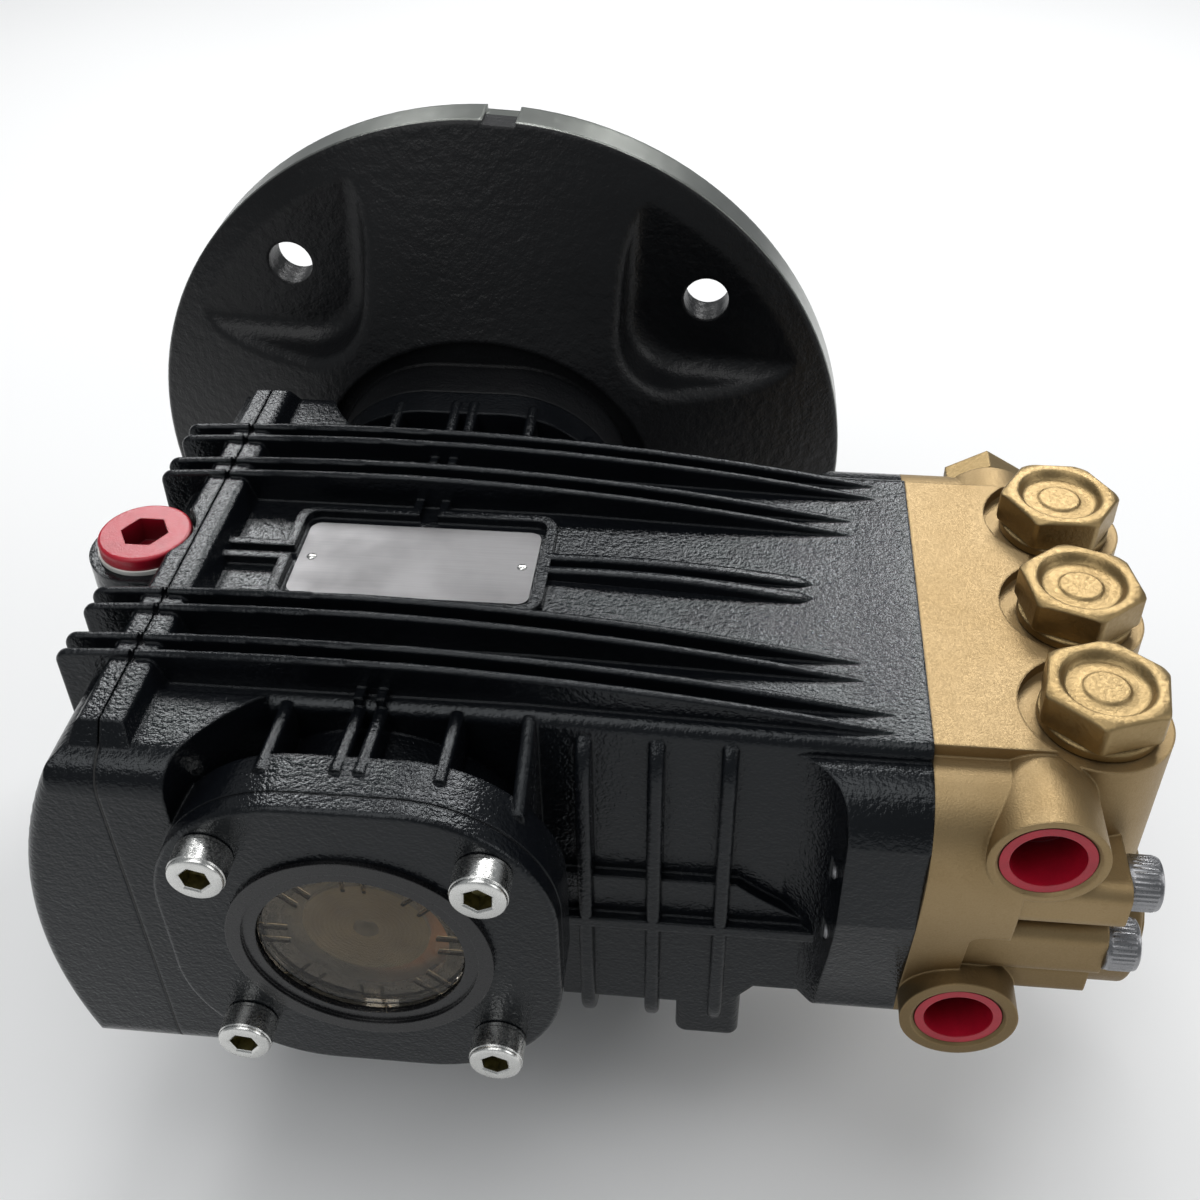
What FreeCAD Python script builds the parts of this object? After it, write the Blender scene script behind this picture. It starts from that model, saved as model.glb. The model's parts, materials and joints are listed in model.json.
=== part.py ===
import FreeCAD, Part
import math
import os

# Three-plunger high-pressure pump with a motor flange, in millimetres.
# X runs from the rear cover to the brass head, Y runs towards the motor, Z is up.
# The origin is the centre of the flange face that bolts to the motor.
# The crankshaft turns on the Y axis, so x and z are both zero on it.

V = FreeCAD.Vector
X_AXIS = V(1, 0, 0)
Y_AXIS = V(0, 1, 0)
Z_AXIS = V(0, 0, 1)

# How far a cut runs past a surface, and how far joined forms run into each other
cut_margin = 1.0

# Plunger group
plunger_plane_y = -132.9
plunger_pitch = 36.5
plunger_count = 3

# Crankcase casting
split_x = -56.0
gasket_thickness = 0.5
joint_x = 127.2
case_half_width = 53.5
case_top_z = 45.0
case_flat_end_x = 36.0
case_slope_end_x = 112.0
case_bottom_z = -54.0
case_edge_radius = 3.0
case_front_rise = 9.0
front_bottom_z = case_bottom_z + case_front_rise
sump_end_x = 85.0
sump_rise_x = 92.0
ledge_top_z = -5.0
ledge_depth = 3.0
ledge_sweep_x = 86.0
ledge_sweep_share = 0.62

# Wide flange where the rear cover bolts on
shoulder_top_z = 47.0
shoulder_bottom_z = -60.0
shoulder_end_x = -41.0
shoulder_run_out_x = -24.0
shoulder_corner_radius = 9.0
shoulder_sweep_shift = 2.0
shoulder_sweep_share = 0.42
strip_width = 5.0
strip_flank = 3.5
strip_crest_round = 1.8
strip_top_z = 52.0
strip_draft = 7.0
strip_end_inset = 3.0
strip_root_drop = 3.0

# Round side bosses that carry the crankshaft bearings
boss_face_offset = 81.1
boss_disc_thickness = 11.0
boss_half_width = 46.3
boss_corner_radius = 35.0
shoulder_inset = 2.1
shoulder_half_width = boss_face_offset - shoulder_inset
boss_neck_radius = 38.0
gusset_thickness = 3.2
gusset_places_x = (-19.5, -2.6, 2.6, 20.0, 36.5)
gusset_bottom_z = 8.0
gusset_edge_radius = 1.4
gusset_reach = 5.0

# Long fins along the top
inner_fin_offsets = (25.2, 31.3)
outer_fin_insets = (11.3, 5.5)
outer_fin_offsets = tuple(case_half_width - inset for inset in outer_fin_insets)
fin_thickness = 2.2
fin_crest_x = -18.0
fin_crest_z = 54.5
inner_fin_arc_radius = 700.0
outer_fin_arc_radius = 775.0
fin_rear_x = -75.0
fin_front_x = 121.0
fin_root_depth = 4.0
fin_notch = 1.6
fin_rear_root_z = 31.0
fin_crest_round = 0.9
fin_rear_round = 3.5

# Cooling ribs round the sides and under the sump
side_rib_places_x = (48.8, 65.6, 82.3)
side_rib_thickness = 3.8
side_rib_height = 6.0
side_rib_bottom_z = -66.0
side_rib_corner_radius = 14.0
side_rib_top_drop = 2.0
side_rib_edge_radius = 1.4
level_rib_z = -19.5
level_rib_thickness = 3.0
level_rib_start_x = 42.0
level_rib_end_x = 112.0

# Feet with threaded holes under the sump
foot_places_x = (-22.0, 80.5)
foot_half_length = 8.5
foot_offset_y = 46.0
foot_half_width = 10.0
foot_bottom_z = -68.0
foot_corner_radius = 3.0
foot_root = 9.0
foot_thread_radius = 4.0
foot_thread_depth = 14.0

# Bolting pad beside the head joint
pad_start_x = 93.0
pad_full_x = 109.0
pad_swell_place = 0.75
pad_swell_share = 0.35
pad_half_width = 69.8
pad_top_half_width = 54.0
pad_top_z = 38.6
pad_shoulder = (62.6, 36.6)
pad_bottom_half_width = 64.5
pad_bottom_z = -44.0
pad_bottom_round = 5.0

# Rib frame round the rating plate, and the plate
frame_half_length = 33.4
frame_half_width = 18.6
frame_rib_width = 2.6
frame_rib_height = 2.6
frame_corner_radius = 6.0
frame_root_depth = 2.0
frame_gap = 2.4
plate_end_gap = 1.3
plate_side_gap = 2.7
plate_half_length = frame_half_length - frame_rib_width / 2.0 - plate_end_gap
plate_half_width = frame_half_width - frame_rib_width / 2.0 - plate_side_gap
plate_corner_radius = 3.0
plate_thickness = 0.5
spine_rib_offset = 2.7
spine_rib_width = 2.2
spine_rib_end_x = 98.0
spine_rib_end_height = 1.2
spine_root_depth = 6.0
cross_rib_offset = 2.6
cross_rib_height = 2.4
cross_rib_inset = 0.5
cross_nub_length = 4.0
cross_nub_height = 5.0

# Crank chamber and bearings
chamber_clearance = 6.0
bearing_width = 15.0
bearing_inset = 7.0
bearing_web_gap = 5.0
near_bearing_outer_radius = 31.0
far_bearing_outer_radius = 34.0
near_journal_radius = 15.0
far_journal_radius = 20.0
bearing_ring_thickness = 5.0
bearing_shield_inset = 0.8
running_clearance = 0.05
crank_throw = 6.0
crank_pin_radius = 17.0
crank_pin_width = 24.0
crank_web_radius = 24.5
crank_end_inset = 6.0
centre_drill_radius = 3.1
centre_drill_depth = 4.0

# Motor shaft bore with its keyway
motor_bore_radius = 14.2875
motor_bore_depth = 66.0
shaft_mouth_y = -26.0
keyway_width = 6.35
keyway_depth = 3.3

# Side cover with its sight glass
cover_thickness = 5.0
shim_thickness = 0.4
shim_inset = 0.3
cover_edge_radius = 1.2
cover_screw_offset = 30.7
window_radius = 24.4
glass_seat_radius = 28.0
ring_outer_radius = 31.2
ring_stand_proud = 1.3
ring_step_radius = 27.6
ring_step_depth = 0.9
glass_thickness = 3.2
glass_recess = 2.2
glass_rib_count = 8
glass_rib_length = 7.0
glass_rib_width = 0.9
glass_rib_depth = 2.2
glass_rib_rim_gap = 0.4
glass_rib_pair_gap = 2.4

# Metric screws with socket heads
screw_radius = 4.0
screw_head_radius = 6.5
screw_head_height = 8.0
socket_across_flats = 6.0
socket_depth = 4.0
screw_grip = 14.0

# Rear cover
rear_top_end_x = -66.0
rear_belly_x = -84.0
rear_belly_z = -14.0
rear_foot_x = -77.5
rear_top_round = 7.0
rear_edge_radius = 3.0
rear_cavity_depth = 18.0
rear_wall = 8.0

# Oil filler with its plug
filler_x = -70.7
filler_boss_radius = 15.0
filler_foot_radius = 3.0
filler_foot_z = 8.0
filler_boss_top_z = 46.0
filler_boss_bottom_z = 24.0
filler_bore_radius = 8.0
filler_bore_depth = 14.0
washer_radius = 12.5
washer_clearance = 0.8
washer_thickness = 1.2
plug_head_radius = 12.0
plug_head_height = 3.6
plug_edge_radius = 0.9
plug_socket_across_flats = 11.0
plug_socket_depth = 7.0
plug_thread_length = 11.0

# Motor flange
flange_radius = 114.3
flange_register_lip = 6.35
flange_bolt_edge = 22.225
flange_rim_width = 12.8
flange_rim_chamfer = 1.0
flange_cone_radius = 55.5
flange_cone_y = -38.0
flange_moat_floor_y = -36.0
flange_clocking = 3.3
register_radius = flange_radius - flange_register_lip
register_depth = 4.5
bell_mouth_radius = 58.0
bell_floor_radius = 52.0
bell_floor_y = -29.0
pocket_wall_offset = 40.0
pocket_corner_radius = 20.0
pocket_floor_y = -16.0
pocket_floor_radius = 7.0
pocket_edge_radius = 5.0
pocket_rim_margin = 4.0
flange_bolt_circle_radius = flange_radius - flange_bolt_edge
flange_bolt_hole_radius = 6.95
flange_bolt_count = 4
rim_notch_width = 10.0
rim_notch_depth = 1.4
seal_outer_radius = 28.0
seal_width = 8.0

# Pump head
head_top_z = 42.2
head_bottom_z = -42.0
head_half_width = 51.0
head_deck_end_x = 157.0
head_body_end_x = 155.0
cheek_end_x = 149.0
cheek_recess_x = 140.0
cheek_recess_top_z = -1.5
recess_corner_radius = 3.0
ledge_end_x = 172.0
ledge_half_width = 62.0
ledge_z = -25.0
ledge_half_height = 6.5
cap_place_x = 165.8
cap_seat_z = 39.0
cap_boss_radius = 17.0
cap_spot_radius = 18.5
cap_boss_bottom_z = -2.0
front_cap_z = -24.0
front_cap_seat_x = 175.0
front_boss_radius = 20.5
front_boss_face_x = 184.5
front_boss_edge = 1.5
front_spot_radius = 17.4
front_boss_start_x = 150.0

# Hex caps over the valves
cap_across_flats = 27.0
cap_hex_height = 9.0
cap_collar_radius = 14.0
cap_collar_height = 2.8
cap_recess_radius = 10.6
cap_recess_depth = 2.4
cap_recess_taper = 1.4
cap_button_radius = 5.3
cap_button_height = 0.6
cap_chamfer = 1.4
cap_spigot_radius = 11.0
cap_spigot_length = 12.0
delivery_cap_turn = 20.0
suction_cap_turn = 15.0

# Ports
outlet_x = 152.0
outlet_z = 28.0
outlet_boss_radius = 13.2
inlet_z = -31.7
inlet_boss_radius = 14.2
inlet_x = joint_x + inlet_boss_radius
port_face_offset = 71.1
blank_face_offset = 61.5
port_thread_radius = 10.48
port_chamfer = 1.0
port_depth = 20.0
port_plug_wall = 2.2
port_plug_inset = 0.6
port_plug_length = 15.0
blank_plug_across_flats = 22.0
blank_plug_height = 8.0
blank_collar_height = 1.2
blank_collar_radius = 11.8
blank_thread_length = 12.0
blank_spot_radius = 14.0
blank_spot_reach = 20.0

# Head bolts
head_bolt_offset_y = 60.5
head_bolt_z = 11.2
head_bolt_seat_x = 172.8
upper_bar_half_height = 6.8
upper_bar_outset = 9.6
lower_bar_half_height = 8.2
lower_bar_outset = 5.0
bar_corner_radius = 4.0
bolt_head_room = 1.0
head_bolt_hold = 20.0
inner_bolt_z = 9.0
inner_bolt_seat_x = 179.0
inner_bar_radius = 8.2
inner_lower_bolt_z = -39.0
inner_lower_seat_x = 168.0


def cylinder_x(x_start, x_end, y, z, radius):
    return Part.makeCylinder(radius, x_end - x_start, V(x_start, y, z), X_AXIS)


def cylinder_y(y_start, y_end, x, z, radius):
    return Part.makeCylinder(radius, y_end - y_start, V(x, y_start, z), Y_AXIS)


def cylinder_z(z_start, z_end, x, y, radius):
    return Part.makeCylinder(radius, z_end - z_start, V(x, y, z_start), Z_AXIS)


def block(x_range, y_range, z_range):
    corner = V(x_range[0], y_range[0], z_range[0])
    size_x = x_range[1] - x_range[0]
    size_y = y_range[1] - y_range[0]
    size_z = z_range[1] - z_range[0]
    return Part.makeBox(size_x, size_y, size_z, corner)


def side_profile(points, y_start, y_end):
    """Extrude a closed outline drawn in x and z along Y."""
    corners = [V(x, y_start, z) for x, z in points]
    wire = Part.makePolygon(corners + corners[:1])
    return Part.Face(wire).extrude(V(0, y_end - y_start, 0))


def end_profile(points, x_start, x_end):
    """Extrude a closed outline drawn in y and z along X."""
    corners = [V(x_start, y, z) for y, z in points]
    wire = Part.makePolygon(corners + corners[:1])
    return Part.Face(wire).extrude(V(x_end - x_start, 0, 0))


def rounded_block(x_range, y_range, z_range, axis, radius):
    """A block whose four edges along one axis are rounded."""
    body = block(x_range, y_range, z_range)
    return fillet_where(body, radius, lambda edge: runs_along(edge, axis))


def runs_lengthwise(edge):
    """True for a straight edge that keeps its y, as the long edges of the case do."""
    return edge.Curve.TypeId == "Part::GeomLine" and abs(edge.tangentAt(edge.FirstParameter).x) > 0.9


def runs_along(edge, axis):
    if edge.Curve.TypeId != "Part::GeomLine":
        return False
    return edge.tangentAt(edge.FirstParameter).cross(axis).Length < 1e-6


def fillet_where(body, radius, wanted):
    edges = [edge for edge in body.Edges if wanted(edge)]
    return body.makeFillet(radius, edges)


def hexagon(across_flats, centre, axis, height, turn=0.0):
    """A hexagonal prism that starts at a centre and grows along an axis."""
    corner_radius = across_flats / math.sqrt(3.0)
    first = V(0, 0, 1) if abs(axis.z) < 0.5 else V(1, 0, 0)
    second = axis.cross(first)
    corners = []
    for step in range(6):
        angle = math.radians(turn + 60.0 * step)
        reach = first * (corner_radius * math.cos(angle)) + second * (corner_radius * math.sin(angle))
        corners.append(centre + reach)
    return Part.Face(Part.makePolygon(corners + corners[:1])).extrude(axis * height)


def fuse_all(shapes):
    body = shapes[0].fuse(shapes[1:]) if len(shapes) > 1 else shapes[0]
    return body.removeSplitter()


def fuse_in_turn(shapes):
    """Fuse the shapes one by one, which keeps a casting of many blended forms sound."""
    body = shapes[0]
    for shape in shapes[1:]:
        body = body.fuse(shape)
    return body


def mirrored_y(offset):
    """The two y positions that lie the same distance each side of the plunger plane."""
    return (plunger_plane_y - offset, plunger_plane_y + offset)


def quadrants(offset):
    return [(sx * offset, sz * offset) for sx in (-1, 1) for sz in (-1, 1)]


def boss_outline(y_start, y_end, inset=0.0):
    """The well-rounded square shared by the bosses, the flange hub and the side cover."""
    half = boss_half_width - inset
    return rounded_block((-half, half), (y_start, y_end), (-half, half), Y_AXIS, boss_corner_radius - inset)


def socket_screw(seat, axis, grip):
    """A socket head screw. The seat is the point under its head, the axis points out of the head."""
    head = Part.makeCylinder(screw_head_radius, screw_head_height, seat, axis)
    shank = Part.makeCylinder(screw_radius, grip, seat - axis * grip, axis)
    socket_floor = seat + axis * (screw_head_height - socket_depth)
    socket = hexagon(socket_across_flats, socket_floor, axis, socket_depth)
    return head.fuse(shank).cut(socket)


def screw_hole(seat, axis, grip):
    return Part.makeCylinder(screw_radius, grip, seat - axis * grip, axis)


def fin_top_z(x, arc_radius):
    reach = x - fin_crest_x
    return fin_crest_z - arc_radius + math.sqrt(arc_radius ** 2 - reach ** 2)


def long_fin(place, x_start, x_end, root_z):
    """One long fin: a thin plate whose top edge is a shallow arc with a rounded crest."""
    y_centre, arc_radius = place
    y_start = y_centre - fin_thickness / 2.0
    middle = (x_start + x_end) / 2.0
    start_top = V(x_start, y_start, fin_top_z(x_start, arc_radius))
    middle_top = V(middle, y_start, fin_top_z(middle, arc_radius))
    end_top = V(x_end, y_start, fin_top_z(x_end, arc_radius))
    start_root = V(x_start, y_start, root_z)
    end_root = V(x_end, y_start, root_z)
    edges = [
        Part.LineSegment(start_root, start_top).toShape(),
        Part.Arc(start_top, middle_top, end_top).toShape(),
        Part.LineSegment(end_top, end_root).toShape(),
        Part.LineSegment(end_root, start_root).toShape(),
    ]
    fin = Part.Face(Part.Wire(edges)).extrude(V(0, fin_thickness, 0))
    if x_start < split_x - cut_margin:
        fin = fillet_where(fin, fin_rear_round, lambda edge: runs_along(edge, Y_AXIS)
                           and edge.CenterOfMass.isEqual(start_top + Y_AXIS * fin_thickness / 2.0, 0.01))
    return fillet_where(fin, fin_crest_round, lambda edge: edge.Curve.TypeId == "Part::GeomCircle")


def fin_places():
    """The y of each fin with the radius of its crest. The outer fins fall more gently."""
    places = [(y, inner_fin_arc_radius) for offset in inner_fin_offsets for y in mirrored_y(offset)]
    places.extend((y, outer_fin_arc_radius) for offset in outer_fin_offsets for y in mirrored_y(offset))
    return places


def split_notch(place):
    """The small gap left in each fin at the split line."""
    y_centre = place[0]
    y_range = (y_centre - fin_thickness, y_centre + fin_thickness)
    half = fin_notch / 2.0
    return block((split_x - half, split_x + half), y_range, (strip_top_z - fin_notch, fin_crest_z + cut_margin))


def case_core():
    """The main box of the crankcase, its top falling towards the head."""
    top_profile = [
        (split_x, case_bottom_z),
        (split_x, case_top_z),
        (case_flat_end_x, case_top_z),
        (case_slope_end_x, head_top_z),
        (joint_x, head_top_z),
        (joint_x, front_bottom_z),
        (sump_rise_x, front_bottom_z),
        (sump_end_x, case_bottom_z),
    ]
    near_y, far_y = mirrored_y(case_half_width)
    core = side_profile(top_profile, near_y, far_y)
    return fillet_where(core, case_edge_radius,
                        lambda edge: edge.CenterOfMass.z > head_top_z - 0.01 and runs_lengthwise(edge))


def case_shoulder():
    """The wide shoulder at the split, which sweeps in to the side walls."""
    near_y, far_y = mirrored_y(shoulder_half_width)
    near_wall, far_wall = mirrored_y(case_half_width)
    middle_x = (shoulder_end_x + shoulder_run_out_x) / 2.0 - shoulder_sweep_shift
    middle_half_width = case_half_width + (shoulder_half_width - case_half_width) * shoulder_sweep_share
    near_middle, far_middle = mirrored_y(middle_half_width)
    low_z = shoulder_bottom_z
    split_near, split_far = V(split_x, near_y, low_z), V(split_x, far_y, low_z)
    end_near, end_far = V(shoulder_end_x, near_y, low_z), V(shoulder_end_x, far_y, low_z)
    wall_near, wall_far = V(shoulder_run_out_x, near_wall, low_z), V(shoulder_run_out_x, far_wall, low_z)
    edges = [
        Part.LineSegment(split_near, split_far).toShape(),
        Part.LineSegment(split_far, end_far).toShape(),
        Part.Arc(end_far, V(middle_x, far_middle, low_z), wall_far).toShape(),
        Part.LineSegment(wall_far, wall_near).toShape(),
        Part.Arc(wall_near, V(middle_x, near_middle, low_z), end_near).toShape(),
        Part.LineSegment(end_near, split_near).toShape(),
    ]
    plan = Part.Face(Part.Wire(edges)).extrude(V(0, 0, shoulder_top_z - shoulder_bottom_z))
    outline = rounded_block((split_x, shoulder_run_out_x), (near_y, far_y),
                            (shoulder_bottom_z, shoulder_top_z), X_AXIS, shoulder_corner_radius)
    above_case = block((split_x + strip_width, shoulder_run_out_x), (near_wall, far_wall),
                       (case_top_z, shoulder_top_z))
    return plan.common(outline).cut(above_case)


def split_strip(side):
    """Half of the raised strip along the split line, with drafted flanks and ends.

    Side is 1 for the half on the case and -1 for the half on the rear cover.
    """
    start_x = split_x if side > 0 else split_x - gasket_thickness
    half_root = shoulder_half_width - strip_end_inset
    half_top = half_root - strip_draft
    root_z = case_top_z - strip_root_drop
    near_top, far_top = mirrored_y(half_top)
    near_root, far_root = mirrored_y(half_root)
    crest_x = start_x + side * strip_width
    foot_x = crest_x + side * strip_flank
    ends = [(near_root, root_z), (near_top, strip_top_z), (far_top, strip_top_z), (far_root, root_z)]
    flanks = [(start_x, root_z), (start_x, strip_top_z), (crest_x, strip_top_z), (foot_x, root_z)]
    long_body = side_profile(flanks, near_root, far_root)
    long_body = fillet_where(long_body, strip_crest_round, lambda edge: runs_along(edge, Y_AXIS)
                             and abs(edge.CenterOfMass.x - crest_x) < 0.01)
    return long_body.common(end_profile(ends, min(start_x, foot_x), max(start_x, foot_x)))


def side_boss(side):
    """A bearing boss: a well-rounded square on a round neck. Side is -1 near and 1 far."""
    face_y = plunger_plane_y + side * boss_face_offset
    inner_y = face_y - side * boss_disc_thickness
    wall_y = plunger_plane_y + side * (case_half_width - cut_margin)
    disc = boss_outline(min(face_y, inner_y), max(face_y, inner_y))
    neck = cylinder_y(min(wall_y, inner_y), max(wall_y, inner_y), 0, 0, boss_neck_radius)
    return [disc, neck]


def boss_gussets(side):
    """Thin webs that tie the top of the boss disc to the case wall."""
    wall_y = plunger_plane_y + side * (case_half_width - cut_margin)
    disc_y = plunger_plane_y + side * (boss_face_offset - boss_disc_thickness + gusset_reach)
    webs = []
    for x in gusset_places_x:
        half = gusset_thickness / 2.0
        disc_top_z = boss_edge_z(x)
        outline = [
            (wall_y, gusset_bottom_z),
            (wall_y, case_top_z),
            (disc_y, disc_top_z + cut_margin),
            (disc_y, gusset_bottom_z),
        ]
        web = end_profile(outline, x - half, x + half)
        webs.append(fillet_where(web, gusset_edge_radius, lambda edge: is_web_edge(edge)))
    return webs


def is_web_edge(edge):
    """True for the long top and outer edges of a gusset."""
    along = edge.tangentAt(edge.FirstParameter)
    return abs(along.x) < 0.1 and abs(along.y) > 0.1 and edge.CenterOfMass.z > gusset_bottom_z + cut_margin


def boss_edge_z(x):
    """Height of the boss outline above the shaft at a place along the pump."""
    corner_centre = boss_half_width - boss_corner_radius
    beyond = max(0.0, abs(x) - corner_centre)
    return corner_centre + math.sqrt(boss_corner_radius ** 2 - beyond ** 2)


def side_rib(x):
    """A cooling rib that runs down both sides and under the sump."""
    half = side_rib_thickness / 2.0
    near_y, far_y = mirrored_y(case_half_width + side_rib_height)
    rib = rounded_block(
        (x - half, x + half), (near_y, far_y), (side_rib_bottom_z, case_top_z - side_rib_top_drop),
        X_AXIS, side_rib_corner_radius)
    return fillet_where(rib, side_rib_edge_radius,
                        lambda edge: abs(abs(edge.CenterOfMass.x - x) - half) < 0.01)


def case_ribs():
    ribs = [side_rib(x) for x in side_rib_places_x]
    half = level_rib_thickness / 2.0
    near_y, far_y = mirrored_y(case_half_width + side_rib_height)
    ribs.append(block(
        (level_rib_start_x, level_rib_end_x), (near_y, far_y), (level_rib_z - half, level_rib_z + half)))
    ribs.append(side_ledge())
    return ribs


def side_ledge():
    """The step low on each side wall, whose top sweeps down towards the bolting pad."""
    near_ledge, far_ledge = mirrored_y(case_half_width + ledge_depth)
    sweep_x = (ledge_sweep_x + level_rib_end_x) / 2.0
    sweep_z = ledge_top_z + (level_rib_z - ledge_top_z) * ledge_sweep_share
    start = V(level_rib_start_x, near_ledge, ledge_top_z)
    turn = V(ledge_sweep_x, near_ledge, ledge_top_z)
    end = V(level_rib_end_x, near_ledge, level_rib_z)
    low_end = V(level_rib_end_x, near_ledge, front_bottom_z)
    low_rise = V(sump_rise_x, near_ledge, front_bottom_z)
    low_turn = V(sump_end_x, near_ledge, case_bottom_z)
    low_start = V(level_rib_start_x, near_ledge, case_bottom_z)
    edges = [
        Part.LineSegment(start, turn).toShape(),
        Part.Arc(turn, V(sweep_x, near_ledge, sweep_z), end).toShape(),
        Part.LineSegment(end, low_end).toShape(),
        Part.LineSegment(low_end, low_rise).toShape(),
        Part.LineSegment(low_rise, low_turn).toShape(),
        Part.LineSegment(low_turn, low_start).toShape(),
        Part.LineSegment(low_start, start).toShape(),
    ]
    return Part.Face(Part.Wire(edges)).extrude(V(0, far_ledge - near_ledge, 0))


def foot_places():
    return [(x, y) for x in foot_places_x for y in mirrored_y(foot_offset_y)]


def feet():
    blocks = []
    for x, y in foot_places():
        blocks.append(rounded_block(
            (x - foot_half_length, x + foot_half_length), (y - foot_half_width, y + foot_half_width),
            (foot_bottom_z, case_bottom_z + foot_root), Z_AXIS, foot_corner_radius))
    return blocks


def joint_outline(x_start, x_end):
    """The outline where the head meets the case: flat on top, bulging sides, narrower below."""
    half_points = [
        (pad_top_half_width, pad_top_z),
        pad_shoulder,
        (pad_half_width, 0.0),
        (pad_bottom_half_width, pad_bottom_z),
    ]
    sides = []
    for side in (-1, 1):
        points = [V(x_start, plunger_plane_y + side * half, z) for half, z in half_points]
        curve = Part.BSplineCurve()
        curve.interpolate(points)
        sides.append(curve.toShape())
    near_top, far_top = mirrored_y(pad_top_half_width)
    near_low, far_low = mirrored_y(pad_bottom_half_width)
    top = Part.LineSegment(V(x_start, near_top, pad_top_z), V(x_start, far_top, pad_top_z)).toShape()
    bottom = Part.LineSegment(V(x_start, near_low, pad_bottom_z), V(x_start, far_low, pad_bottom_z)).toShape()
    wire = Part.Wire(Part.__sortEdges__([sides[0], top, sides[1], bottom]))
    body = Part.Face(wire).extrude(V(x_end - x_start, 0, 0))
    return fillet_where(body, pad_bottom_round, lambda edge: runs_along(edge, X_AXIS)
                        and edge.CenterOfMass.z < pad_bottom_z + 0.01)


def bolting_pad():
    """The pad that swells out of the side walls to carry the head."""
    near_y, far_y = mirrored_y(pad_half_width)
    near_wall, far_wall = mirrored_y(case_half_width - cut_margin)
    swell_x = pad_start_x + (pad_full_x - pad_start_x) * pad_swell_place
    near_swell, far_swell = mirrored_y(case_half_width + (pad_half_width - case_half_width) * pad_swell_share)
    low_z = pad_bottom_z - cut_margin
    start_near, start_far = V(pad_start_x, near_wall, low_z), V(pad_start_x, far_wall, low_z)
    full_near, full_far = V(pad_full_x, near_y, low_z), V(pad_full_x, far_y, low_z)
    joint_near, joint_far = V(joint_x, near_y, low_z), V(joint_x, far_y, low_z)
    edges = [
        Part.LineSegment(start_far, start_near).toShape(),
        Part.Arc(start_near, V(swell_x, near_swell, low_z), full_near).toShape(),
        Part.LineSegment(full_near, joint_near).toShape(),
        Part.LineSegment(joint_near, joint_far).toShape(),
        Part.LineSegment(joint_far, full_far).toShape(),
        Part.Arc(full_far, V(swell_x, far_swell, low_z), start_far).toShape(),
    ]
    plan = Part.Face(Part.Wire(edges)).extrude(V(0, 0, head_top_z - low_z))
    return plan.common(joint_outline(pad_start_x, joint_x))


def plate_frame():
    """The low rib that frames the rating plate, open for a short gap on its far side and at its rear."""
    outer_length = frame_half_length + frame_rib_width / 2.0
    outer_width = frame_half_width + frame_rib_width / 2.0
    inner_length = frame_half_length - frame_rib_width / 2.0
    inner_width = frame_half_width - frame_rib_width / 2.0
    z_range = (case_top_z - frame_root_depth, case_top_z + frame_rib_height)
    outer = rounded_block((-outer_length, outer_length), mirrored_y(outer_width), z_range,
                          Z_AXIS, frame_corner_radius)
    inner = rounded_block((-inner_length, inner_length), mirrored_y(inner_width), z_range,
                          Z_AXIS, frame_corner_radius - frame_rib_width)
    open_z = (case_top_z, case_top_z + frame_rib_height + cut_margin)
    far_side = (plunger_plane_y, plunger_plane_y + outer_width + cut_margin)
    far_gap = block((-frame_gap, frame_gap), far_side, open_z)
    between_spine_ribs = mirrored_y(spine_rib_offset - spine_rib_width / 2.0)
    rear_gap = block((-outer_length - cut_margin, 0), between_spine_ribs, open_z)
    return outer.cut([inner, far_gap, rear_gap])


def spine_ribs():
    """Two low ribs in line with the plate frame, before and behind it."""
    ribs = []
    z_range = (case_top_z - spine_root_depth, case_top_z + frame_rib_height)
    for y in mirrored_y(spine_rib_offset):
        y_range = (y - spine_rib_width / 2.0, y + spine_rib_width / 2.0)
        ribs.append(block((split_x + strip_width - cut_margin, -frame_half_length), y_range, z_range))
        front = [
            (frame_half_length, z_range[0]),
            (frame_half_length, z_range[1]),
            (spine_rib_end_x, head_top_z + spine_rib_end_height),
            (spine_rib_end_x, z_range[0]),
        ]
        ribs.append(side_profile(front, y_range[0], y_range[1]))
    return ribs


def cross_ribs():
    """Short ribs in line with the shaft, in pairs beside the outer fins and at the plate frame."""
    half = spine_rib_width / 2.0
    root_z = case_top_z - fin_root_depth
    wall_rib = (outer_fin_offsets[1], case_half_width - cross_rib_inset, case_top_z + cross_rib_height)
    fin_nub = (outer_fin_offsets[0] - cross_nub_length, outer_fin_offsets[0], case_top_z + cross_nub_height)
    frame_rib = (frame_half_width, inner_fin_offsets[0], case_top_z + frame_rib_height)
    ribs = []
    for x in (-cross_rib_offset, cross_rib_offset):
        for start, end, top_z in (wall_rib, fin_nub):
            near_end, far_end = mirrored_y(end)
            near_start, far_start = mirrored_y(start)
            ribs.append(block((x - half, x + half), (near_end, near_start), (root_z, top_z)))
            ribs.append(block((x - half, x + half), (far_start, far_end), (root_z, top_z)))
    start, end, top_z = frame_rib
    for x in (-frame_gap - half, frame_gap + half):
        y_range = (plunger_plane_y + start, plunger_plane_y + end)
        ribs.append(block((x - half, x + half), y_range, (root_z, top_z)))
    return ribs


def bearing_span(side):
    """The y range of the bearing in the near (-1) or far (1) boss, measured from its face inwards."""
    outer_y = case_face(side) - side * bearing_inset
    inner_y = outer_y - side * bearing_width
    return min(outer_y, inner_y), max(outer_y, inner_y)


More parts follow.
